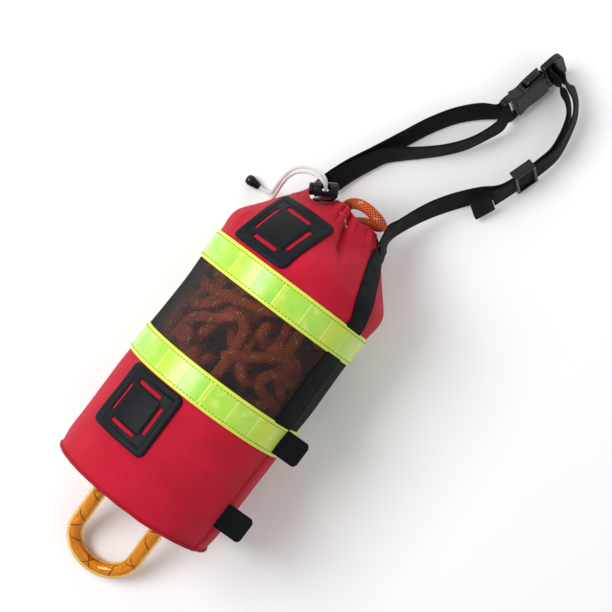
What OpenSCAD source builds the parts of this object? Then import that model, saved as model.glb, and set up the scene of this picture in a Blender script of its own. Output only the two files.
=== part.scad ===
// Throw rope bag lying on its back, with its belt laid out beyond the mouth.
// Millimetres. +Y runs along the bag from its base to its mouth, +Z is up.
// The origin is on the face it rests on, under the middle of the lower reflective band.

/* [Bag] */
// Outer radius of the fabric shell
bag_r = 77.4; // [74:0.2:82]
// Height of the bag's axis above the face it rests on
axis_h = 73; // [71:0.5:73.5]
// Radius at the base rim
rim_r = 75; // [73:0.5:76]
// Thickness of the coated nylon
shell_t = 1; // [0.6:0.1:1.4]
// Thickness of the mesh
mesh_t = 0.8; // [0.5:0.1:1]
// Thickness of the foam float in the base
foam_t = 12; // [8:1:16]

/* [Reflective bands and patches] */
// Width of a reflective band
band_w = 27; // [24:0.5:30]
// Thickness of a reflective band
band_t = 0.8; // [0.6:0.1:0.9]
// Side of a square lash patch
patch_w = 60; // [54:1:64]
// Length of a slot in a lash patch
slot_l = 26; // [22:1:28]
// Width of a slot in a lash patch
slot_w = 3; // [2.4:0.2:3.6]

/* [Webbing] */
// Width of the belt webbing
web_w = 25; // [20:0.5:25]
// Thickness of the belt webbing
web_t = 1.6; // [1.2:0.1:1.8]
// Width of the side tabs
tab_w = 23; // [20:1:25]

/* [Ropes and cords] */
// Diameter of the throw rope
rope_d = 9.5; // [8:0.5:10]
// Diameter of the grab loop's rope
loop_rope_d = 10.4; // [9:0.2:10.4]
// Outer diameter of the clear sleeve on the grab loop
sleeve_d = 14.6; // [13:0.2:15]
// Half the distance between the two legs of the grab loop
loop_half_w = 30.6; // [27:0.2:32]
// Straight length of each leg of the grab loop
loop_leg = 53; // [45:1:56]
// Diameter of the drawcord
cord_d = 3; // [2.4:0.1:3]

/* [Buckle and cord lock] */
// Half width of the buckle across its paddles
buckle_half_w = 16.4; // [16:0.1:17]
// Thickness of the buckle's female half
buckle_t = 11; // [10:0.5:12]
// Outer radius of the cord lock barrel
lock_r = 6.8; // [6.6:0.1:7]
// How far the cord lock button can be pressed
button_travel = 4; // [2:0.5:4]

/* [Hidden] */
$fn = 96;
big = 400;

// Stations along the bag
base_y = -114.4;
shell_start_y = -112.8;
taper_end_y = -100;
mesh_start_y = 2;
mesh_end_y = 95;
band_lower_y = 0;
band_upper_y = 97;
casing_start_y = 172.5;
mouth_y = 191;
// Radius and axis height of the gathered shoulder, by station
shoulder_r = [
    [95, bag_r], [112, bag_r], [124, 79], [133, 78.5], [150, 66], [163, 56], [176, 45], [191, 36]
];
shoulder_h = [
    [95, axis_h], [124, axis_h], [133, 72.5], [150, 65], [163, 58], [176, 50], [191, 44]
];
// Stations where the shoulder's wall and everything laid on it turn
shoulder_stations = [112, 118, 124, 129, 133, 138, 144, 150, 157, 163, 169.5, casing_start_y, 176];
function radius_at(y) = y < 95 ? bag_r : lookup(y, shoulder_r);
function height_at(y) = y < 95 ? axis_h : lookup(y, shoulder_h);
// A layer's own resting height: layers stack under the bag as they do around it
function rest_at(off) = band_t - off;
function skin_point(y, turn, off) =
    let (r = radius_at(y) + off)
    [r * sin(turn), y, max(height_at(y) + r * cos(turn), rest_at(off))];

// The right side webbing is pulled straight, so its turn follows from its X at each station
webbing_x = 62.3;
webbing_x_mouth = 42;
webbing_bend_y = 116;
webbing_end_y = 176;
function right_x(y) =
    let (share = max(0, y - webbing_bend_y) / (webbing_end_y - webbing_bend_y))
    webbing_x + (webbing_x_mouth - webbing_x) * share;
// Turns are degrees from the top of the bag towards +X
function right_turn(y) = asin(right_x(y) / radius_at(y));
left_turn = -130;
patch_turn_lower = -31;
patch_turn_upper = -32;

// Colours
red = "#c8203c";
lime = "#cfee5c";
black = "#17191c";
rubber = "#26282b";
rope_orange = "#e0602a";
cord_white = "#e6e4dc";

// ---------- helpers ----------
function unit(v) = v / norm(v);
function frame_x(h, roll) = [cos(h) * cos(roll), -sin(h) * cos(roll), -sin(roll)];
function frame_y(h) = [sin(h), cos(h), 0];
function frame_z(h, roll) = [cos(h) * sin(roll), -sin(h) * sin(roll), cos(roll)];
function from_frame(p, h, roll, q) =
    p + q.x * frame_x(h, roll) + q.y * frame_y(h) + q.z * frame_z(h, roll);

// Places children drawn flat and pointing along +Y at a point, heading and roll
module in_frame(p, h, roll) {
    translate(p) rotate([0, 0, -h]) rotate([0, roll, 0]) children();
}

// Extrudes a section drawn in X and Z from y0 to y1
module along_y(y0, y1) {
    translate([0, y1, 0]) rotate([90, 0, 0]) linear_extrude(y1 - y0) children();
}

// The bag's flattened round section, off millimetres outside the shell
module flat_disc(r, off) {
    intersection() {
        translate([0, axis_h]) circle(r);
        translate([-big / 2, rest_at(off)]) square([big, big]);
    }
}

// A thin closed wall around the cylindrical part of the bag
module straight_wall(y0, y1, off, t) {
    along_y(y0, y1) difference() {
        flat_disc(bag_r + off, off);
        flat_disc(bag_r + off - t, off - t);
    }
}

// Closed side faces of a grid of points: rows x cols, rows closed on themselves
function loop_faces(rows, cols, start = 0) = [
    for (i = [0 : rows - 2], j = [0 : cols - 1])
        let (a = start + i * cols + j, b = start + i * cols + (j + 1) % cols)
        [a, b, b + cols, a + cols]
];

// A solid or hollow body that follows the bag's section through a list of stations
module bag_loft(stations, off, t = 0) {
    n = 72;
    rows = len(stations);
    outer = [for (y = stations, j = [0 : n - 1]) skin_point(y, j * 360 / n, off)];
    inner = [for (y = stations, j = [0 : n - 1]) skin_point(y, j * 360 / n, off - t)];
    m = rows * n;
    if (t == 0) {
        polyhedron(outer, concat(
            loop_faces(rows, n),
            [[for (j = [n - 1 : -1 : 0]) j]],
            [[for (j = [0 : n - 1]) m - n + j]]));
    } else {
        ends = [for (j = [0 : n - 1]) let (k = (j + 1) % n) [j, m + j, m + k, k]];
        tips = [for (j = [0 : n - 1])
            let (k = (j + 1) % n) [m - n + j, m - n + k, 2 * m - n + k, 2 * m - n + j]];
        inside = [for (f = loop_faces(rows, n, m)) [f[3], f[2], f[1], f[0]]];
        polyhedron(concat(outer, inner), concat(loop_faces(rows, n), inside, ends, tips));
    }
}

// A slab on the bag's skin: along y0..y1, across u0..u1 millimetres from a line of constant turn,
// or from the right side webbing's line where follow is true
module skin_slab(y0, y1, u0, u1, off0, off1, turn, cells_u = 8, follow = false) {
    rows = concat([y0], [for (y = shoulder_stations) if (y > y0 + 0.2 && y < y1 - 0.2) y], [y1]);
    cells_y = len(rows) - 1;
    function spot(i, j, off) =
        let (u = u0 + (u1 - u0) * j / cells_u,
             mid = follow ? right_turn(rows[i]) : turn)
        skin_point(rows[i], mid + u / radius_at(rows[i]) * 180 / PI, off);
    w = cells_u + 1;
    count = (cells_y + 1) * w;
    low = [for (i = [0 : cells_y], j = [0 : cells_u]) spot(i, j, off0)];
    high = [for (i = [0 : cells_y], j = [0 : cells_u]) spot(i, j, off1)];
    top = [for (i = [0 : cells_y - 1], j = [0 : cells_u - 1])
        let (a = count + i * w + j) [a, a + w, a + w + 1, a + 1]];
    bottom = [for (i = [0 : cells_y - 1], j = [0 : cells_u - 1])
        let (a = i * w + j) [a, a + 1, a + w + 1, a + w]];
    side_a = [for (j = [0 : cells_u - 1]) [j, count + j, count + j + 1, j + 1]];
    side_b = [for (j = [0 : cells_u - 1])
        let (a = cells_y * w + j) [a, a + 1, count + a + 1, count + a]];
    side_c = [for (i = [0 : cells_y - 1]) let (a = i * w) [a, a + w, count + a + w, count + a]];
    side_d = [for (i = [0 : cells_y - 1]) let (a = i * w + cells_u) [a, count + a, count + a + w, a + w]];
    polyhedron(concat(low, high), concat(top, bottom, side_a, side_b, side_c, side_d));
}

// A flat strap through stations [point, across]; across is the direction of its width
module ribbon(stations, w = web_w, t = web_t) {
    n = len(stations);
    rings = [for (i = [0 : n - 1])
        let (a = stations[max(i - 1, 0)][0],
             b = stations[min(i + 1, n - 1)][0],
             p = stations[i][0],
             run = unit(b - a),
             side = unit(stations[i][1] - (stations[i][1] * run) * run),
             up = cross(side, run))
        each [p + side * w / 2 + up * t / 2, p - side * w / 2 + up * t / 2,
              p - side * w / 2 - up * t / 2, p + side * w / 2 - up * t / 2]];
    sides = [for (i = [0 : n - 2], j = [0 : 3])
        let (a = i * 4 + j, b = i * 4 + (j + 1) % 4) each [[a, a + 4, b + 4], [a, b + 4, b]]];
    polyhedron(rings, concat(sides, [[0, 1, 2, 3]], [[n * 4 - 1, n * 4 - 2, n * 4 - 3, n * 4 - 4]]));
}

// Strap stations from rows of [x, y, z, heading, roll]
function strap_rows(rows) = [for (r = rows) [[r[0], r[1], r[2]], frame_x(r[3], r[4])]];

// A round tube swept along a route, its rings turned as little as possible
module tube(route, d, sides) {
    n = len(route);
    runs = [for (i = [0 : n - 1]) unit(route[min(i + 1, n - 1)] - route[max(i - 1, 0)])];
    first = unit(cross(runs[0], abs(runs[0].z) < 0.9 ? [0, 0, 1] : [1, 0, 0]));
    normals = [for (i = 0, v = first; i < n; i = i + 1,
                    v = i < n ? unit(v - (v * runs[i]) * runs[i]) : v) v];
    points = [for (i = [0 : n - 1], j = [0 : sides - 1])
        let (a = j * 360 / sides, side = unit(normals[i] - (normals[i] * runs[i]) * runs[i]))
        route[i] + d / 2 * (cos(a) * side + sin(a) * cross(runs[i], side))];
    faces = [for (f = loop_faces(n, sides)) [f[3], f[2], f[1], f[0]]];
    polyhedron(points, concat(faces,
        [[for (j = [0 : sides - 1]) j]],
        [[for (j = [sides - 1 : -1 : 0]) (n - 1) * sides + j]]));
}

// ---------- bag ----------
loop_x = 3.5;
loop_z = 45;
leg_hole_r = 8;
panel_r = 72.9;

module leg_holes(y0, y1, r) {
    for (side = [-1, 1])
        translate([loop_x + side * loop_half_w, y1, loop_z]) rotate([90, 0, 0])
            cylinder(h = y1 - y0, r = r);
}

module base_panel() {
    color(red) difference() {
        along_y(base_y, shell_start_y) flat_disc(panel_r, -shell_t);
        leg_holes(base_y - 1, shell_start_y + 1, leg_hole_r);
    }
}

module base_binding() {
    color(red) along_y(base_y - 0.8, shell_start_y) difference() {
        flat_disc(rim_r + 1.2, 0.4);
        flat_disc(panel_r, -shell_t);
    }
}

module base_eyelets() {
    bore = leg_hole_r + 0.2;
    lip = 1.8;
    color("#2a2b2e") for (side = [-1, 1])
        translate([loop_x + side * loop_half_w, base_y, loop_z]) rotate([90, 0, 0]) rotate_extrude()
            polygon([[bore, 0], [13, 0], [13, 0.8], [11, lip], [bore + 0.6, lip], [bore, lip - 0.6]]);
}

module foam_float() {
    color("#d9d6c8") difference() {
        along_y(shell_start_y + 0.2, shell_start_y + foam_t) flat_disc(rim_r - shell_t - 0.7, -shell_t - 0.5);
        leg_holes(shell_start_y - 1, shell_start_y + foam_t + 1, loop_rope_d / 2 + 0.4);
    }
}

// The lower shell narrows a little towards the base rim
module lower_solid(inset) {
    r = bag_r - inset;
    taper = taper_end_y - shell_start_y;
    intersection() {
        union() {
            translate([0, mesh_start_y, axis_h]) rotate([90, 0, 0])
                cylinder(h = mesh_start_y - taper_end_y, r = r);
            translate([0, taper_end_y, axis_h]) rotate([90, 0, 0])
                cylinder(h = taper, r1 = r, r2 = rim_r - inset);
        }
        translate([-big / 2, -big / 2, rest_at(-inset)]) cube(big);
    }
}

module lower_shell() {
    color(red) difference() {
        lower_solid(0);
        along_y(shell_start_y - 1, taper_end_y) flat_disc(rim_r - shell_t, -shell_t);
        intersection() {
            translate([0, mesh_start_y + 1, axis_h]) rotate([90, 0, 0])
                cylinder(h = mesh_start_y + 1 - taper_end_y, r = bag_r - shell_t);
            translate([-big / 2, -big / 2, rest_at(-shell_t)]) cube(big);
        }
    }
}

module mesh_panel() {
    color("#2b2320") straight_wall(mesh_start_y, mesh_end_y, 0, mesh_t);
}

module upper_shell() {
    shoulder = [for (y = shoulder_stations) if (y <= casing_start_y) y];
    color(red) bag_loft(concat([mesh_end_y], shoulder), 0, shell_t);
}

// The hem is two layers of cloth with room for the drawcord between them
module mouth_casing() {
    color(red) {
        bag_loft([casing_start_y, 176, 181, 186, mouth_y], 0, shell_t);
        bag_loft([casing_start_y, 176, 181, 186, mouth_y], -4.6, shell_t);
    }
}

neck_r = 18;
module mouth_gather() {
    color(red) difference() {
        translate([0, 188, 45.5]) rotate([90, 0, 0]) cylinder(h = 1.6, r = 31.4);
        translate([5, 189, 46.5]) rotate([90, 0, 0]) cylinder(h = 4, r = neck_r);
    }
}

module mouth_eyelet() {
    color("#c9ccd0") translate([-24.3, 187, 77.1]) rotate([0, 0, 35]) rotate([-55, 0, 0])
        rotate_extrude() polygon([[7, -0.8], [12.5, -0.8], [12.5, 0], [10.8, 0.9], [8.4, 0.9], [7, 0.2]]);
}

module reflective_band(y) {
    color(lime) straight_wall(y - band_w / 2, y + band_w / 2, band_t, band_t);
}

// A moulded patch with a slot along each side, a raised rim and a raised middle.
// lean is the share of its length that counts along Y where the bag slopes.
lay_gap = 0.25;
module lash_patch(y_mid, turn, lean) {
    function at(far) = y_mid + far * lean;
    half = patch_w / 2;
    inner = half - 6;
    pad = 16.2;
    slot_at = 18.8;
    sheet_h = 1.6;
    rim_h = 3;
    pad_h = 2.4;
    below = -2.5;
    above = 6;
    color(rubber) difference() {
        union() {
            skin_slab(at(-half), at(half), -half, half, lay_gap, sheet_h, turn);
            difference() {
                skin_slab(at(-half), at(half), -half, half, sheet_h / 2, rim_h, turn);
                skin_slab(at(-inner), at(inner), -inner, inner, lay_gap, above, turn);
            }
            skin_slab(at(-pad), at(pad), -pad, pad, sheet_h / 2, pad_h, turn, 4);
        }
        for (side = [-1, 1]) {
            low = side * slot_at - slot_w / 2;
            high = side * slot_at + slot_w / 2;
            skin_slab(at(low), at(high), -slot_l / 2, slot_l / 2, below, above, turn, 4);
            skin_slab(at(-slot_l / 2), at(slot_l / 2), low, high, below, above, turn, 1);
        }
    }
}
patch_lower_y = -44.5;
patch_upper_y = 140.2;
upper_lean = 0.89;

// A short loop of webbing folded flat and sewn into the side seam
tab_l = 21;
module side_tab(y0, x0, z0, droop) {
    color(black) translate([x0, y0, z0]) rotate([0, droop, 0]) {
        cube([tab_l, tab_w, 2 * web_t]);
        translate([tab_l, 0, web_t]) rotate([-90, 0, 0]) cylinder(h = tab_w, r = web_t, $fn = 32);
    }
}

// Side webbing runs over the mesh between the two bands, then on from the upper band to the mouth
side_web_half = 12;
side_web_h = 1.6;
webbing_start_y = band_lower_y + band_w / 2 + 0.1;
webbing_break_y = band_upper_y - band_w / 2 - 0.1;
webbing_resume_y = band_upper_y + band_w / 2 + 0.1;
module side_webbing(turn, follow) {
    half = side_web_half;
    color(black) {
        skin_slab(webbing_start_y, webbing_break_y, -half, half, lay_gap, side_web_h, turn, 6, follow);
        skin_slab(webbing_resume_y, webbing_end_y, -half, half, lay_gap, side_web_h, turn, 6, follow);
    }
}

// ---------- rope ----------
module rope_pack() {
    color(rope_orange) bag_loft([-68, 95, 112, 124, 133, 142, 150, 157, 163, 172], -2.2);
}

bight_route = [
    [-5, 173, 52], [-5, 180, 50], [-5, 188, 53], [-3, 195, 62], [3, 199, 70], [12, 200, 74],
    [21, 199, 73.5], [28, 197.5, 68], [30, 196.5, 60], [27.5, 195, 52], [20, 192.5, 46.5],
    [12, 188, 44.5], [7, 181, 46], [6, 173, 48]
];
module rope_bight() {
    color(rope_orange) tube(bight_route, rope_d, 12);
}

// Inside the base the grab loop's two ends turn inwards and meet in the knot that holds the throw rope
knot_y = -86;
knot_r = 13;
bend_r = 8;
module loop_knot() {
    color("#f0a52a") for (side = [-1, 1])
        translate([loop_x, 0, loop_z]) mirror([side < 0 ? 1 : 0, 0, 0]) {
            translate([loop_half_w, knot_y - bend_r, 0]) rotate([90, 0, 0])
                cylinder(h = knot_y - bend_r - base_y, r = loop_rope_d / 2);
            translate([loop_half_w - bend_r, knot_y - bend_r, 0]) rotate_extrude(angle = 90)
                translate([bend_r, 0]) circle(loop_rope_d / 2);
            translate([1, knot_y, 0]) rotate([0, 90, 0])
                cylinder(h = loop_half_w - bend_r - 1, r = loop_rope_d / 2);
        }
    color("#f0a52a") translate([loop_x, knot_y, loop_z]) sphere(knot_r);
}

// ---------- drawcord and cord lock ----------
lock_hole = [-26, 190.45, 86.6];
lock_heading = 31.3;
lock_tilt = 17;
module at_lock() {
    translate(lock_hole) rotate([0, 0, lock_heading]) rotate([-lock_tilt, 0, 0]) children();
}

drawcord_y = 182;
module drawcord_loop() {
    n = 48;
    sides = 8;
    points = [for (i = [0 : n - 1], j = [0 : sides - 1])
        let (turn = i * 360 / n, a = j * 360 / sides)
        skin_point(drawcord_y + cord_d / 2 * cos(a), turn, -2.8 + cord_d / 2 * sin(a))];
    faces = [for (i = [0 : n - 1], j = [0 : sides - 1])
        let (k = (i + 1) % n, l = (j + 1) % sides)
        [i * sides + j, i * sides + l, k * sides + l, k * sides + j]];
    color(cord_white) polyhedron(points, faces);
}

// The two tails leave the eyelet side by side, pass through the cord lock and fall to the table
tail_a_route = [
    [-25.2, 189.2, 76.4], [-26.4, 191.1, 83.7], [-27.4, 192.8, 90.3], [-28.4, 194.4, 96.5],
    [-31, 196.5, 100.5], [-36, 198.2, 102], [-43, 197.8, 99.5], [-50, 195.5, 94], [-56, 191.5, 86.5],
    [-60, 186, 77.5], [-62, 180, 68], [-63, 174.5, 58], [-63.5, 170, 47], [-64, 167, 36],
    [-65, 165, 25], [-67.5, 163.8, 15], [-72, 163.2, 8], [-78, 163, 5.5]
];
tail_b_route = [
    [-23.6, 186.6, 77.3], [-24.8, 188.5, 84.6], [-25.8, 190.2, 91.2], [-26.8, 191.8, 97.5],
    [-30, 193.5, 102], [-36, 194.7, 103], [-42.5, 194, 100], [-49, 191.5, 94], [-54.5, 187.5, 86],
    [-58, 182, 76.5], [-59.5, 176, 66.5], [-60, 170.5, 56], [-60.3, 165.5, 45], [-61, 161, 34],
    [-62.5, 157, 23], [-64.5, 152.5, 13], [-67, 147.5, 7], [-70.5, 142.5, 5]
];
module drawcord_tail(route) {
    color(cord_white) tube(route, cord_d, 8);
}

// A moulded bell that hides the knot at a cord's end
bell_half = [[0, 1.6], [2.3, 0], [2.9, 0.6], [4.6, 7.5], [4.9, 10], [4.4, 12.4], [3, 13.9], [0, 14.4]];
module cord_end(p, heading) {
    color(black) translate(p) rotate([0, 0, -heading]) rotate([-90, 0, 0]) difference() {
        rotate_extrude() polygon(bell_half);
        translate([0, 0, -1]) cylinder(h = 3, r = cord_d / 2 + 0.05, $fn = 32);
    }
}

// Barrel: closed end towards +X, button out of the -X end, one cross hole for both cord tails
lock_front = -9;
lock_back = 11;
lock_floor = 1.5;
lock_bevel = 1.5;
bore_r = 5.6;
cord_hole_r = 3.7;
module cord_lock_body() {
    color(black) at_lock() difference() {
        rotate([0, 90, 0]) rotate_extrude() polygon([
            [0, lock_front], [lock_r, lock_front], [lock_r, lock_back - lock_bevel],
            [lock_r - lock_bevel, lock_back], [0, lock_back]
        ]);
        translate([lock_front - 1, 0, 0]) rotate([0, 90, 0])
            cylinder(h = lock_back - lock_floor - lock_front + 1, r = bore_r);
        translate([0, 0, -10]) cylinder(h = 20, r = cord_hole_r);
    }
}

button_r = bore_r - 0.2;
button_inner = 5;
button_outer = lock_front - button_travel - 1;
module cord_lock_button() {
    color("#222428") at_lock() difference() {
        rotate([0, 90, 0]) rotate_extrude() polygon([
            [0, button_outer], [button_r - 1, button_outer], [button_r, button_outer + 1],
            [button_r, button_inner], [0, button_inner]
        ]);
        translate([-cord_hole_r - button_travel, -cord_hole_r, -10])
            cube([2 * cord_hole_r + button_travel, 2 * cord_hole_r, 20]);
    }
}

module cord_lock_spring() {
    turns = 3;
    steps = 14;
    wire = 0.7;
    coil_r = 3.4;
    x0 = button_inner + 0.5;
    x1 = lock_back - lock_floor - 0.5;
    route = [for (i = [0 : turns * steps])
        let (a = i * 360 / steps)
        [x0 + (x1 - x0) * i / (turns * steps), coil_r * cos(a), coil_r * sin(a)]];
    color("#b9bcc0") at_lock() tube(route, wire, 6);
}

// ---------- grab loop ----------
pivot_y = -122.4;
reach = loop_leg + loop_half_w;
droop = asin((loop_z - sleeve_d / 2 - 0.2) / reach);
module at_grab_loop() {
    translate([loop_x, pivot_y, loop_z]) rotate([droop, 0, 0]) children();
}

module grab_loop_rope() {
    color("#f4a41e") at_grab_loop() {
        for (side = [-1, 1])
            translate([side * loop_half_w, 0, 0]) rotate([90, 0, 0])
                cylinder(h = loop_leg, r = loop_rope_d / 2);
        translate([0, -loop_leg, 0]) rotate([0, 0, 180]) rotate_extrude(angle = 180)
            translate([loop_half_w, 0]) circle(loop_rope_d / 2);
    }
}

module grab_loop_sleeve() {
    wall_r = loop_rope_d / 2 + 0.2;
    color([0.98, 0.8, 0.35, 0.5]) at_grab_loop() {
        for (side = [-1, 1]) translate([side * loop_half_w, 0, 0]) difference() {
            union() {
                rotate([90, 0, 0]) cylinder(h = loop_leg, r = sleeve_d / 2);
                intersection() {
                    sphere(sleeve_d / 2);
                    translate([-10, 0, -10]) cube(20);
                }
            }
            translate([0, 10, 0]) rotate([90, 0, 0]) cylinder(h = loop_leg + 11, r = wall_r);
        }
        translate([0, -loop_leg, 0]) rotate([0, 0, 180]) rotate_extrude(angle = 180)
            translate([loop_half_w, 0]) difference() {
                circle(sleeve_d / 2);
                circle(wall_r);
            }
    }
}

// ---------- belt ----------
buckle_at = [57, 346, 18.2];
buckle_heading = 12;
buckle_roll = 62;
function on_buckle(y, z, x = 0) = [
    from_frame(buckle_at, buckle_heading, buckle_roll, [x, y, z]), frame_x(buckle_heading, buckle_roll)
];
module at_buckle() {
    in_frame(buckle_at, buckle_heading, buckle_roll) children();
}

// Rows of [x, y, z, heading, roll]; the strap's left edge is up at a positive roll
root_left_rows = [[-34.2, 178, 19.4, 8, 50], [-33.6, 184, 18.2, 9, 50], [-32.6, 191.2, 16.4, 12, 50]];
strap_left_rows = [
    [-32.4, 192, 16.2, 12, 50], [-29.5, 205, 13.4, 16, 51], [-23.5, 224, 12.2, 20, 56],
    [-12.5, 248, 12.2, 25, 60], [-0.5, 274, 12.3, 27, 62], [11.5, 299, 12.5, 30, 62],
    [25, 320, 13, 37, 62], [40, 335.5, 14.5, 42, 62]
];
strap_left_back_rows = [
    [61, 335, 18.6, 16, 68], [56, 321, 16, 24, 74], [47, 304, 14, 36, 74], [34, 288, 13.4, 44, 74],
    [20, 274.5, 13.4, 44, 72], [6, 262.5, 13.4, 38, 68], [-5.4, 251.5, 13.5, 30, 63],
    [-11, 242, 13.6, 25, 60], [-20.5, 222.4, 13.6, 20, 56], [-27.2, 204.6, 14.8, 16, 51]
];
root_right_rows = [
    [43, 180, 61, 2, 72], [41.8, 186, 53, 2, 76], [40.2, 193.5, 42.5, 4, 75], [41.1, 201.2, 34, 10, 72]
];
strap_right_rows = [
    [41.6, 203.4, 31.6, 10, 72], [48, 220, 23.5, 20, 66], [58, 240, 17, 27, 60], [70, 258, 14.5, 33, 58],
    [84, 275.5, 15, 33, 61], [98, 291, 17, 20, 66], [111.4, 332.2, 17, 18, 66], [112.8, 345, 17.4, 0, 70],
    [109.5, 365, 18.4, -10, 72], [104, 379, 19.2, -25, 72], [95.5, 388, 20.4, -52, 68],
    [88, 391.6, 22, -66, 64]
];
strap_return_rows = [
    [89.5, 398.6, 24, -66, 64], [99, 393.8, 22.4, -50, 68], [108.2, 382.5, 20.8, -25, 72],
    [113.4, 366.5, 19.6, -10, 72], [116.2, 345.5, 18.6, 0, 70], [113.4, 331.6, 17.9, 18, 66],
    [100, 290.4, 17.9, 18, 66], [94.6, 279.2, 17.2, 26, 60]
];
tail_rows = [[94.6, 279.2, 17.2, 26, 60], [90.5, 271, 16.4, 28, 56], [85.5, 262.5, 15.6, 30, 52]];

bar_y = 3.5;
male_bar_y = 56;
bar_r = 1.9;
strap_entry_x = 3;
strap_entry_z = 13.5;
wrap_r = bar_r + 0.25 + web_t / 2;
// Half turn of webbing round a buckle bar, from one face of the buckle to the other
function wrap_stations(y, a0, a1) = [for (i = [0 : 6])
    let (a = a0 + (a1 - a0) * i / 6) on_buckle(y + wrap_r * cos(a), wrap_r * sin(a))];

module belt_root_left() {
    color(black) ribbon(strap_rows(root_left_rows));
}
module belt_root_right() {
    color(black) ribbon(strap_rows(root_right_rows));
}
module belt_strap_left() {
    color(black) ribbon(concat(
        strap_rows(strap_left_rows),
        [on_buckle(-2.5, -4.6)],
        wrap_stations(bar_y, -90, 90),
        [on_buckle(-3, 4)],
        strap_rows(strap_left_back_rows)));
}
module belt_strap_right() {
    color(black) ribbon(concat(
        strap_rows(strap_right_rows),
        [on_buckle(male_bar_y - wrap_r, strap_entry_z, strap_entry_x)]));
}
module belt_strap_return() {
    color(black) ribbon(concat(
        [on_buckle(male_bar_y + wrap_r, strap_entry_z, strap_entry_x)],
        strap_rows(strap_return_rows)));
}
// The belt's end is folded over twice and sewn, so that it cannot slip out of the slider
module strap_tail() {
    step = [0.9, -2.2, 0.4];
    color(black) ribbon([for (r = strap_rows(tail_rows)) [r[0] + step, r[1]]], web_w, 3 * web_t);
}

module male_strap_loop() {
    color(black) ribbon(concat(
        [on_buckle(male_bar_y - wrap_r, 6)],
        wrap_stations(male_bar_y, 180, 360),
        [on_buckle(male_bar_y + wrap_r, 6)]));
}

// Plan outlines, half widths by station
female_half = [
    [0, 14], [2, 15.6], [6, 16], [12, 15.4], [18, 12.8], [22, 12.4], [27, 13.6], [33, 14.4], [46, 14.4]
];
male_half = [[47.6, 15.6], [50, 16.4], [61, 16.6], [66, 15.6], [68.6, 13], [69.6, 10]];
module plan(half) {
    right = [for (r = half) [r[1], r[0]]];
    left = [for (i = [len(half) - 1 : -1 : 0]) [-half[i][1], half[i][0]]];
    polygon(concat(right, left));
}

// The mouth runs right through from side to side, so that the prongs' paddles can be pressed
slot_half = 13.2;
slot_end = 9.6;
mouth_half_t = 3.3;
mouth_floor = 26;
tongue_half = 2.4;
tongue_tip = 22;
bar_end_half_t = 3.6;
bar_end_l = 12;
module buckle_female() {
    color("#1c1e22") at_buckle() {
        difference() {
            translate([0, 0, -buckle_t / 2]) linear_extrude(buckle_t) plan(female_half);
            translate([-slot_half, -1, -10]) cube([2 * slot_half, slot_end + 1, 20]);
            translate([-20, mouth_floor, -mouth_half_t]) cube([40, 30, 2 * mouth_half_t]);
            translate([-4, 16, -mouth_half_t]) cube([8, 12, 2 * mouth_half_t]);
            for (side = [-1, 1])
                translate([-20, -1, side > 0 ? bar_end_half_t : -bar_end_half_t - 10])
                    cube([40, bar_end_l + 1, 10]);
        }
        translate([-slot_half - 0.5, bar_y, 0]) rotate([0, 90, 0])
            cylinder(h = 2 * slot_half + 1, r = bar_r);
    }
}

male_t = 6;
male_gap_half = 4.3;
module buckle_male() {
    color("#1c1e22") at_buckle() {
        difference() {
            translate([0, 0, -male_t / 2]) linear_extrude(male_t) plan(male_half);
            translate([-slot_half, male_bar_y - male_gap_half, -5])
                cube([2 * slot_half, 2 * male_gap_half, 10]);
        }
        translate([-slot_half - 0.5, male_bar_y, 0]) rotate([0, 90, 0])
            cylinder(h = 2 * slot_half + 1, r = bar_r);
        translate([-tongue_half, tongue_tip, -2.6]) cube([2 * tongue_half, 26, 5.2]);
    }
}

// The barbed paddle at one side of the male half, turning about its root
prong_root = [11, 45.6];
prong_outline = [
    [9.4, 45.2], [12.6, 45.2], [15.2, 44.4], [buckle_half_w, 42.6], [buckle_half_w, 31], [15.4, 28.4],
    [13.6, 27.4], [12.2, 28.6], [12.4, 34], [11.6, 40], [9.4, 43.2]
];
module prong(side) {
    color("#24262b") at_buckle() mirror([side < 0 ? 1 : 0, 0, 0]) translate([0, 0, -male_t / 2]) {
        translate(prong_root) cylinder(h = male_t, r = 1.7, $fn = 48);
        linear_extrude(male_t) polygon(prong_outline);
    }
}

slider_at = [104.7, 311.6, 17];
slider_heading = 18;
slider_roll = 66;
// Two side rails joined by a middle bar under the strap and two end bars over it
module strap_slider() {
    rail_in = 13.2;
    rail_out = 15.6;
    half_l = 11;
    low = -4;
    high = 5.4;
    end_bar_l = 3;
    middle_bar_half = 2.4;
    strap_low = -1.2;
    strap_high = 3.4;
    color("#1c1e22") in_frame(slider_at, slider_heading, slider_roll) difference() {
        translate([-rail_out, -half_l, low]) cube([2 * rail_out, 2 * half_l, high - low]);
        translate([-rail_in, -half_l - 1, strap_low])
            cube([2 * rail_in, 2 * half_l + 2, strap_high - strap_low]);
        translate([-rail_in, -half_l + end_bar_l, strap_low])
            cube([2 * rail_in, 2 * (half_l - end_bar_l), 10]);
        for (side = [-1, 1])
            translate([-rail_in, side > 0 ? middle_bar_half : -half_l - 1, low - 1])
                cube([2 * rail_in, half_l + 1 - middle_bar_half, 4]);
    }
}

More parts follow.
